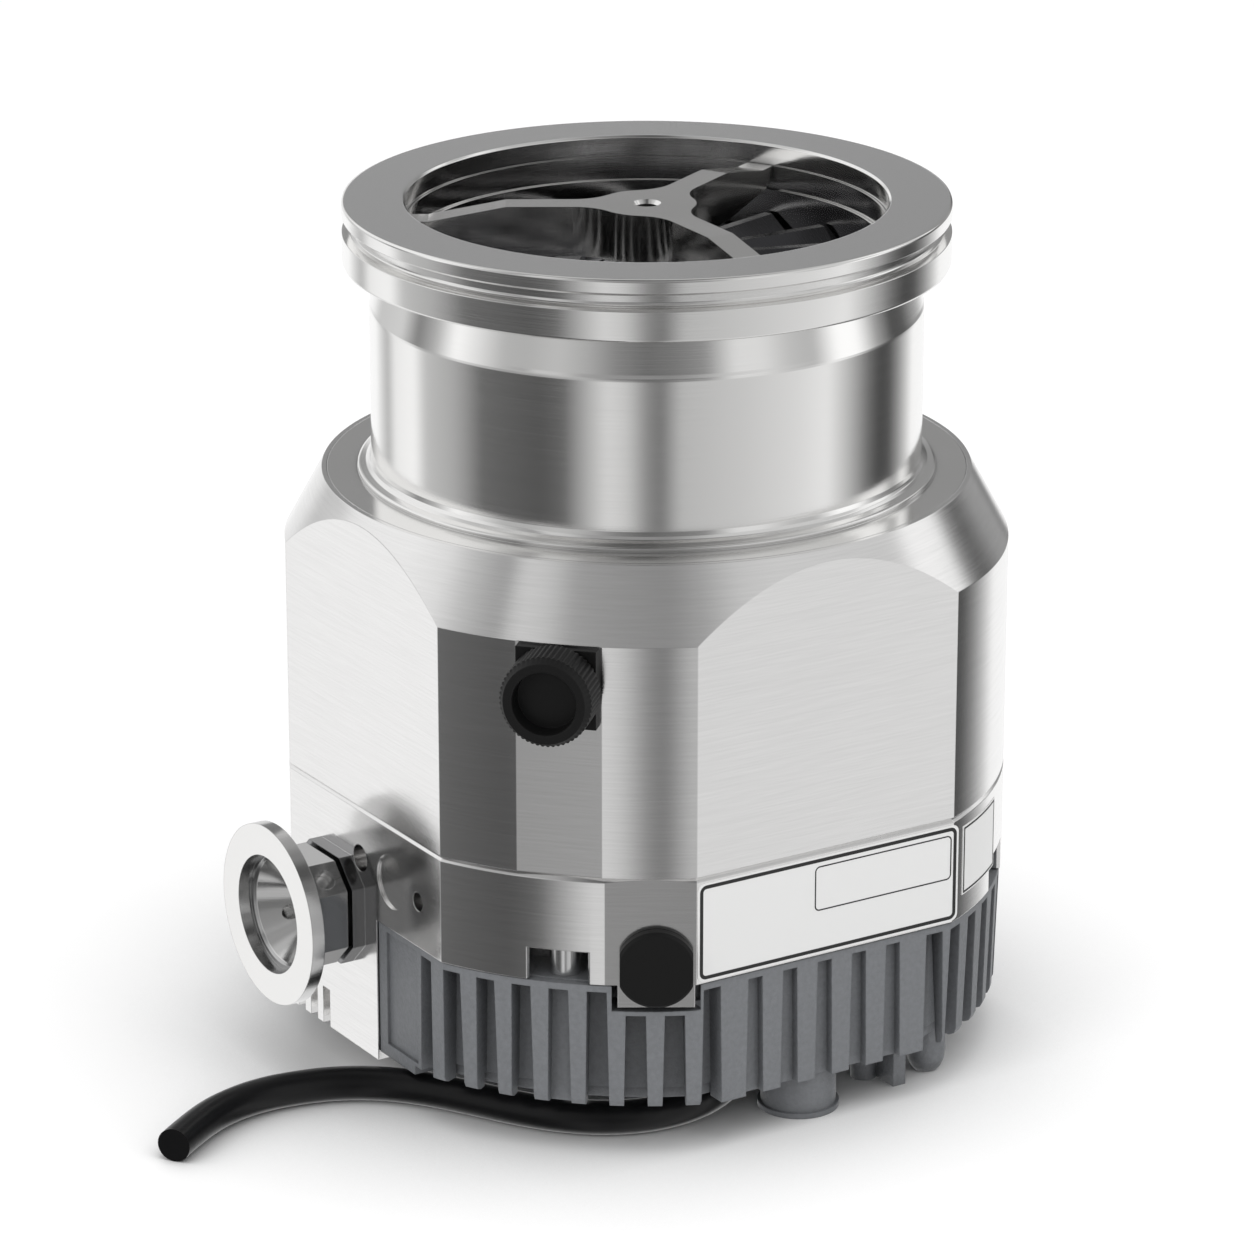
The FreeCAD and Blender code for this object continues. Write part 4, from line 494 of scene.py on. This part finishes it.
bright = math_node(tree, "MAXIMUM", math_node(tree, "MAXIMUM", in_funnel, on_rim), on_face)
# Painted shade: the body, bore, rim and funnel take darker colours, and the dark body darkens its
# reflection in the flat beside the port.
shade_by(tree, tree.nodes["Principled BSDF"], bright, (0.5, 0.5, 0.5), BRIGHT)
print("port: funnel tone within", FUNNEL_R, "mm of its axis, rim tone beyond", RIM_R, "mm")

# %% [markdown]
# ## Shaded slots and grooves
# Painted shade: the bottom of a cast slot is painted darker than the fins' fronts, and so is a
# narrow groove in the polished metal. Both finishes are darkened where walls stand close by.

# %% Slots and grooves
SLOT_REACH, SLOT_PAINTED_SHADE = 0.007, 0.55
GROOVE_REACH, GROOVE_PAINTED_SHADE = 0.0025, (0.12, 0.12, 0.12)


def painted_shade_factor(tree, distance, least):
    """A factor of painted shade: from least, where walls stand within the distance, to 1 in the
    open.
    """
    crowded = node(tree, "AmbientOcclusion", samples=6)
    crowded.inputs["Distance"].default_value = distance
    mapped = node(tree, "MapRange")
    link(tree, crowded.outputs["AO"], mapped.inputs["Value"])
    mapped.inputs["From Min"].default_value = 0.2
    mapped.inputs["From Max"].default_value = 0.85
    mapped.inputs["To Min"].default_value = least
    return mapped.outputs[0]


# Painted shade: the powder coat's colour is scaled down where walls stand close, most at the bottom
# of the slots.
tree = FINISHES["grey powder coat"].node_tree
coat = tree.nodes["Principled BSDF"].inputs["Base Color"]
coated = node(tree, "VectorMath", operation="SCALE")
link(tree, coat.links[0].from_socket, coated.inputs[0])
link(tree, painted_shade_factor(tree, SLOT_REACH, SLOT_PAINTED_SHADE), coated.inputs["Scale"])
link(tree, coated.outputs[0], coat)
# Painted shade: the turned aluminium goes towards near black where walls stand close, in grooves
# and narrow gaps.
tree = FINISHES["turned aluminium"].node_tree
shade_by(tree, tree.nodes["Principled BSDF"], painted_shade_factor(tree, GROOVE_REACH, 0.0), GROOVE_PAINTED_SHADE,
         BRIGHT)
print("shaded by what stands close:", SLOT_REACH, "m in the slots,", GROOVE_REACH, "m in grooves")

# %% [markdown]
# ## Power cable
# A limp, smooth black cable comes out from under the housing, swings along the floor in a wide S
# and ends in a plain cut. It is one smooth curve on a few given points, with a round section, so it
# bends as a soft jacket does.

# %% Power cable
CABLE_R, CABLE_LIFT = 3.7, 0.05
CABLE_ROUTE = [
    (1.0, -39.0), (-6.1, -46.1), (-14.0, -52.2), (-23.3, -55.8), (-33.3, -55.8), (-42.6, -52.2),
    (-50.2, -45.7), (-56.1, -37.6), (-61.2, -28.6), (-66.6, -19.4), (-73.2, -11.6), (-81.2, -6.2),
    (-90.0, -3.4), (-99.4, -2.4), (-109.6, -4.6), (-118.6, -9.4), (-127.1, -15.7)]


def new_piece(name, data):
    made = bpy.data.objects.new(name, data)
    scene.collection.objects.link(made)
    return made


def smooth_line(name, points):
    """A smooth open line with the points, in millimetres, as its control points."""
    curve = bpy.data.curves.new(name, "CURVE")
    curve.dimensions = "3D"
    spline = curve.splines.new("NURBS")
    spline.points.add(len(points) - 1)
    for point, place in zip(spline.points, points):
        point.co = (*(Vector(place) * MM), 1)
    spline.order_u = 3
    spline.use_endpoint_u = True
    spline.resolution_u = 12
    return curve


route = [(x, y, CABLE_R + CABLE_LIFT) for x, y in CABLE_ROUTE]
cable = new_piece("cable", smooth_line("cable", route))
cable.data.bevel_depth = CABLE_R * MM
cable.data.bevel_resolution = 12
cable.data.use_fill_caps = True
cable.data.materials.append(FINISHES["cable jacket"])
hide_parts("power_cable")
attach(cable, "pump")
print("cable route points:", len(route))

# %% [markdown]
# ## The lathe
# A lathe turns a profile, and so does `lathe`: it spins a closed outline of (radius, height)
# corners, in millimetres, in 256 steps. `settle` then gives a piece its finish, its body and the
# frame's nodes that it stands for. Only edges sharper than a few degrees are kept sharp, so
# round walls stay smooth and each flat keeps its crisp border.

# %% The lathe
ROUND_STEPS = 256
CRISP_ANGLE = 4.0
ON_AXIS = 1e-9


def from_faces(name, points, faces):
    mesh = bpy.data.meshes.new(name)
    mesh.from_pydata([Vector(point) * MM for point in points], [], faces)
    work = bmesh.new()
    work.from_mesh(mesh)
    bmesh.ops.remove_doubles(work, verts=work.verts, dist=1e-7)
    bmesh.ops.recalc_face_normals(work, faces=work.faces)
    work.to_mesh(mesh)
    work.free()
    return new_piece(name, mesh)


def lathe(name, corners, steps=ROUND_STEPS):
    """Spins a closed outline of (radius, height) corners about the pump's axis."""
    points, faces = [], []
    count = len(corners)
    for step in range(steps):
        turn = 2 * math.pi * step / steps
        points += [(r * math.cos(turn), r * math.sin(turn), z) for r, z in corners]
    for step in range(steps):
        here, there = step * count, (step + 1) % steps * count
        for i in range(count):
            j = (i + 1) % count
            if corners[i][0] < ON_AXIS and corners[j][0] < ON_AXIS:
                continue
            faces.append((here + i, there + i, there + j, here + j))
    return from_faces(name, points, faces)


def settle(piece, finish_name, body, instead_of=(), degrees=CRISP_ANGLE):
    """Gives a piece its finish and its body, and the frame's nodes that it stands for."""
    wear(piece, finish_name)
    piece.data.shade_smooth()
    piece.data.set_sharp_from_angle(angle=math.radians(degrees))
    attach(piece, body)
    if instead_of:
        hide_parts(*instead_of)


print("round steps:", ROUND_STEPS)

# %% [markdown]
# ## Inlet envelope
# The envelope is turned from one tube: a thick flange with a clamp groove round its rim, a smooth
# neck that draws in a little under the flange, and a stepped ring where it drops into the case.
# Its profile is one outline, and only the top face has another finish, of fine rings.

# %% Inlet envelope
ENVELOPE_PROFILE = [
    (51.5, 187.5), (52.0, 188), (64.4, 188), (64.85, 187.85), (65, 187.4), (65, 185), (63.2, 184.7),
    (62.6, 184.3), (62.4, 183.8), (62.4, 182.4), (62.6, 181.9), (63.2, 181.5), (65, 181.2),
    (65, 175.2), (64.82, 174.78), (64.4, 174.6), (57.4, 174.6), (57.5, 173.9), (59.15, 166.0),
    (59.36, 165.2), (59.4, 164.6), (59.4, 132.4), (59.55, 131.4), (59.9, 130.8), (60.6, 130.3),
    (61.6, 130.0), (62.1, 129.9), (62.4, 129.6), (62.4, 128.9), (69.0, 128.9), (69, 121),
    (55.2, 121), (55.2, 183.3), (51.5, 183.3)]
TOP_FACE_FROM = 187.95


def supported(corners, inset=0.12):
    """Adds a corner close to each end of every long run, so that wide faces stay flat in the light
    and each edge turns the light in a strip as thin as a broken edge."""
    outline = []
    for here, there in zip(corners, corners[1:] + corners[:1]):
        run = math.dist(here, there)
        outline.append(here)
        if run > 5 * inset:
            for part in (inset / run, 1 - inset / run):
                outline.append(tuple(a + (b - a) * part for a, b in zip(here, there)))
    return outline


envelope = lathe("envelope", supported(ENVELOPE_PROFILE))
settle(envelope, "turned aluminium", "pump", instead_of=["inlet_envelope"], degrees=100)
envelope.data.materials.append(FINISHES["flange face"])
for face in envelope.data.polygons:
    if face.center.z > TOP_FACE_FROM * MM:
        face.material_index = 1
print("envelope faces:", len(envelope.data.polygons))

# %% [markdown]
# ## The mill
# A mill cuts flats, slots and holes from a blank. `mill` does the same with exact booleans, and
# can also add one piece to another or keep what both share. The cutters are prisms and drills, made
# round the upright axis and then swung or laid to their places.

# %% The mill
DRILL_STEPS = 64


def prism(name, outline, low, high):
    """An upright prism on an outline of (x, y) corners."""
    count = len(outline)
    points = [(x, y, low) for x, y in outline] + [(x, y, high) for x, y in outline]
    faces = [tuple(range(count))[::-1], tuple(range(count, 2 * count))]
    faces += [(i, (i + 1) % count, (i + 1) % count + count, i + count) for i in range(count)]
    return from_faces(name, points, faces)


def stand(piece, azimuth, place):
    """Lays a piece that was made round the Z axis level, pointing along an azimuth."""
    way = Matrix.Rotation(math.radians(azimuth), 4, "Z") @ Matrix.Rotation(math.radians(90), 4, "Y")
    piece.data.transform(Matrix.Translation(Vector(place) * MM) @ way)
    return piece


def swing(piece, azimuth):
    """Turns a piece about the pump's axis."""
    piece.data.transform(Matrix.Rotation(math.radians(azimuth), 4, "Z"))
    return piece


def drill(radius, near, far, azimuth, height, side=0.0):
    """A level round cutter from a near to a far reach along an azimuth, shifted to the side."""
    rod = lathe("cutter", [(0, near), (radius, near), (radius, far), (0, far)], DRILL_STEPS)
    turn = math.radians(azimuth)
    return stand(rod, azimuth, (-side * math.sin(turn), side * math.cos(turn), height))


def mill(piece, cutters, operation="DIFFERENCE"):
    """Cuts other pieces away, adds them or keeps what they share; they are used up."""
    for cutter in cutters:
        change = piece.modifiers.new("cut", "BOOLEAN")
        change.operation = operation
        change.solver = "EXACT"
        change.object = cutter
        bpy.context.view_layer.update()
        graph = bpy.context.evaluated_depsgraph_get()
        done = bpy.data.meshes.new_from_object(piece.evaluated_get(graph))
        piece.modifiers.clear()
        piece.data = done
        bpy.data.objects.remove(cutter)
    return piece


print("drill steps:", DRILL_STEPS)

# %% [markdown]
# ## Upper body
# The case is turned, then four flats are milled down its sides, which leaves an arch where each
# flat runs out on the cone. A narrow fifth flat carries the vent valve. Cutting a finely
# turned blank gives exactly those arches, with no modelling of curves.

# %% Upper body
CASE_R, FLAT = 78.44, 71.4
JOINT_Z, CONE_FOOT, CASE_TOP = 63, 113.8, 128.9
VENT_AZIMUTH, VENT_Z = -135.55, 105.0
SQUARE = [(-FLAT, -FLAT), (FLAT, -FLAT), (FLAT, FLAT), (-FLAT, FLAT)]


def side_flat(azimuth, face, low, high):
    """A cutter that leaves a flat at a distance from the axis, between two heights."""
    outline = [(face, -15), (face + 10, -15), (face + 10, 15), (face, 15)]
    return swing(prism("flat", outline, low, high), azimuth)


upper = lathe("upper_case", [
    (60.1, JOINT_Z), (CASE_R, JOINT_Z), (CASE_R, CONE_FOOT), (70.16, CASE_TOP), (69.1, CASE_TOP),
    (69.1, 121), (48.5, 121), (48.5, 114), (60.1, 114)])
mill(upper, [prism("square", SQUARE, 0, 200)], "INTERSECT")
vent_flat = side_flat(VENT_AZIMUTH, 77.9, 50, CONE_FOOT)
mill(upper, [vent_flat, drill(6.2, 67, 90, VENT_AZIMUTH, VENT_Z)])
settle(upper, "brushed aluminium", "pump", instead_of=["upper_body"])
print("upper case faces:", len(upper.data.polygons))

# %% [markdown]
# ## Lower body
# The lower body carries on the same outline, with a small bevel along the joint. Below it
# hangs a plate under the backing port with three open slots, and a tab under the purge port.
# First the blank is turned with its wells and steps, and the tab, the plate and the port's duct
# are added to it.

# %% Lower body: blank
BEVEL_Z, BEVEL_R, BEVEL_FLAT = 61.9, 77.34, 70.3
PURGE_AZIMUTH, PURGE_Z = -121.5, 43.2


def box(name, low, high):
    outline = [(low[0], low[1]), (high[0], low[1]), (high[0], high[1]), (low[0], high[1])]
    return prism(name, outline, low[2], high[2])


lower = lathe("lower_case", [
    (22, 38), (22, 13.5), (26, 13.5), (26, 39), (CASE_R, 39), (CASE_R, BEVEL_Z),
    (BEVEL_R, JOINT_Z), (60, JOINT_Z), (60, 65.2), (58.1, 65.2), (58.1, 67.6), (60, 67.6), (60, 70),
    (56, 70), (56, 57), (29.2, 57), (29.2, 78.6), (25.1, 78.6), (25.1, 55), (22.5, 55),
    (22.5, 50.8), (21.1, 50.8), (21.1, 38)])
tab = prism("tab", [(71.85, -6.9), (79.85, -6.9), (79.85, 9.3), (71.85, 9.3)], 34, 40)
mill(lower, [swing(tab, PURGE_AZIMUTH), box("plate", (-FLAT, -4.9, 6.3), (-62.4, 32, 40)),
             box("duct", (-70.4, 1.4, 27), (-37, 23.4, 44))], "UNION")
print("lower blank faces:", len(lower.data.polygons))

# %% [markdown]
# The flats and their bevel come from one shape that the blank is cut to: a square block, a
# shallow pyramid on it for the bevel, and a round spigot, which lets the middle stand higher.
# A square boss with bevelled corners then carries the backing port.

# %% Lower body: flats, bevel and boss
PORT_WAY = 180
square = prism("square", SQUARE, 0, BEVEL_Z)
bevel = from_faces(
    "square_top",
    [(x, y, BEVEL_Z) for x, y in SQUARE]
    + [(x * BEVEL_FLAT / FLAT, y * BEVEL_FLAT / FLAT, JOINT_Z) for x, y in SQUARE],
    [(3, 2, 1, 0), (4, 5, 6, 7), (0, 1, 5, 4), (1, 2, 6, 5), (2, 3, 7, 6), (3, 0, 4, 7)])
spigot = lathe("spigot", [(0, 60), (61, 60), (61, 90), (0, 90)])
mill(square, [bevel, spigot], "UNION")
mill(lower, [square], "INTERSECT")


def bevelled_square(across, bevel, low, high):
    half = across / 2
    corner = half - bevel
    spots = [(corner, half), (half, corner), (half, -corner), (corner, -half), (-corner, -half),
             (-half, -corner), (-half, corner), (-corner, half)]
    return prism("bevelled_square", spots, low, high)


boss = stand(bevelled_square(24.6, 5.65, 60, 74.4), PORT_WAY, (0, PORT_Y, PORT_Z))
mill(lower, [boss], "UNION")
print("lower body faces with flats and boss:", len(lower.data.polygons))

# %% [markdown]
# Last come the holes: the purge port on its narrow flat, the backing duct with the two small holes
# and the round recess beside it, a pocket with a flared mouth under each corner for the housing's
# screws, and three open slots at the plate's foot. The boss's faces round the port get a darker
# metal finish of their own.

# %% Lower body: holes, pockets and slots
POCKET = [(65.94, -6.35), (77.5, -6.35), (78.4, -7.0), (82, -7.0), (82, 7.0), (78.4, 7.0),
          (77.5, 6.35), (65.94, 6.35)]
FIRST_POCKET = -135.8
BOSS_FACE, BOSS_REACH = -71.45, 16
SMALL_HOLES = ((3, 65.4, 51, -1.75), (2.1, 65.4, 49.4, 22.9), (6.1, 70.9, 50, 11.6))
cutters = [side_flat(PURGE_AZIMUTH, 77.85, 0, 80),
           drill(4.4, 69.85, 90, PURGE_AZIMUTH, PURGE_Z, 1.2),
           drill(5, 47, 80, PORT_WAY, PORT_Z, -PORT_Y)]
for radius, near, height, side in SMALL_HOLES:
    cutters.append(drill(radius, near, 80, PORT_WAY, height, side))
for number in range(4):
    cutters.append(swing(prism("pocket", POCKET, 30, 46.2), FIRST_POCKET + 90 * number))
for number in range(3):
    y = PORT_Y + 4 + 5.6 * number
    cutters.append(box("slot", (-80, y, 0), (-FLAT + 3.5, y + 3, 15)))
mill(lower, cutters)
settle(lower, "brushed aluminium", "pump", instead_of=["lower_body"])
lower.data.materials.append(FINISHES["boss metal"])
for face in lower.data.polygons:
    place = face.center / MM
    if place.x < BOSS_FACE and math.hypot(place.y - PORT_Y, place.z - PORT_Z) < BOSS_REACH:
        face.material_index = 1
print("lower case faces:", len(lower.data.polygons))

# %% [markdown]
# ## Labels
# Two white film labels sit on the lower body: a long one on the flat and a short one round the
# corner. Each is a thin plate with a printed border line, and the long one has round corners
# and an empty frame in its upper part.

# %% Labels
FILM, INK = 0.12, 0.03
LABEL_PLACE = (0.7, -FLAT, 50.4)
FRAME_PLACE = (14.4, -FLAT, 54.2)


def round_rectangle(width, height, radius, steps=8):
    spots = []
    for across, up, start in ((1, 1, 0), (-1, 1, 90), (-1, -1, 180), (1, -1, 270)):
        for step in range(steps + 1):
            turn = math.radians(start + 90 * step / steps)
            spots.append((across * (width / 2 - radius) + radius * math.cos(turn),
                          up * (height / 2 - radius) + radius * math.sin(turn)))
    return spots


def flat_label(name, width, height, radius, thick, lift, place):
    """A plate that faces -Y, with its middle at place."""
    plate = prism(name, round_rectangle(width, height, radius), lift, lift + thick)
    turn = Matrix.Rotation(math.radians(90), 4, "X")
    plate.data.transform(Matrix.Translation(Vector(place) * MM) @ turn)
    return plate


def border(name, width, height, radius, line, place):
    """A printed line of one width round the inside of a rectangle, on the film."""
    outer = flat_label(name, width, height, radius, INK, FILM, place)
    inner_radius = max(0.4, radius - line)
    inner = flat_label("inner", width - 2 * line, height - 2 * line, inner_radius, 4, -2, place)
    return mill(outer, [inner])


def wrapped_plate(name, radius, thick, first, last, low, high, steps=24):
    """A thin plate round the case, between two azimuths and two heights."""
    outline = []
    for reach, turns in ((radius + thick, range(steps + 1)), (radius, range(steps, -1, -1))):
        for step in turns:
            turn = math.radians(first + (last - first) * step / steps)
            outline.append((reach * math.cos(turn), reach * math.sin(turn)))
    return prism(name, outline, low, high)


label = flat_label("label", 66.0, 22.0, 1.6, FILM, 0.0, LABEL_PLACE)
label_border = border("label_border", 65.0, 21.1, 1.6, 0.8, LABEL_PLACE)
label_frame = border("label_frame", 35.0, 10.1, 1.2, 0.3, FRAME_PLACE)
side_label = wrapped_plate("side_label", CASE_R, FILM, -62.6, -48.4, 43.9, 59.6)
side_border = wrapped_plate("side_label_border", CASE_R + FILM, INK, -62.3, -48.7, 44.2, 59.3)
mill(side_border, [wrapped_plate("inner", CASE_R - 1, 4, -61.95, -49.05, 44.65, 58.85)])
for piece, finish_name in (
        (label, "label film"), (label_border, "label ink"), (label_frame, "label ink"),
        (side_label, "label film"), (side_border, "label ink")):
    settle(piece, finish_name, "pump")
print("label plates: 66 by 22 mm on the flat, 19.4 by 15.7 mm on the round")

# %% [markdown]
# ## Vent knob
# The knob is moulded with fine straight ribs for the fingers and a hollow front. A star-shaped
# outline, ridged all the way round, is stretched along the knob's axis, and plain rings close it at
# both ends. It turns with its own body.

# %% Vent knob
KNOB_BACK, RIBS = 80.9, 54
RIDGE = (0.0, 0.16, 0.25, 0.25, 0.16, 0.0)
KNOB_PROFILE = [
    (3.0, 0, False), (9.1, 0, False), (9.5, 0.4, True), (9.5, 7.9, True), (9.35, 8.2, False),
    (8.75, 9.3, False), (8.6, 9.5, False), (6.9, 9.5, False), (6.75, 9.35, False),
    (6.45, 5.5, False), (0.0, 5.5, False)]
points, faces = [], []
around = RIBS * len(RIDGE)
count = len(KNOB_PROFILE)
for step in range(around):
    turn = 2 * math.pi * step / around
    for radius, reach, ribbed in KNOB_PROFILE:
        r = radius + (RIDGE[step % len(RIDGE)] if ribbed else 0)
        points.append((r * math.cos(turn), r * math.sin(turn), KNOB_BACK + reach))
    here, there = step * count, (step + 1) % around * count
    faces += [(here + i, there + i, there + i + 1, here + i + 1) for i in range(count - 1)]
knob = stand(from_faces("knob", points, faces), VENT_AZIMUTH, (0, 0, VENT_Z))
settle(knob, "black plastic", "vent_knob", instead_of=["vent_knob"], degrees=25)
print("knob ribs:", RIBS)
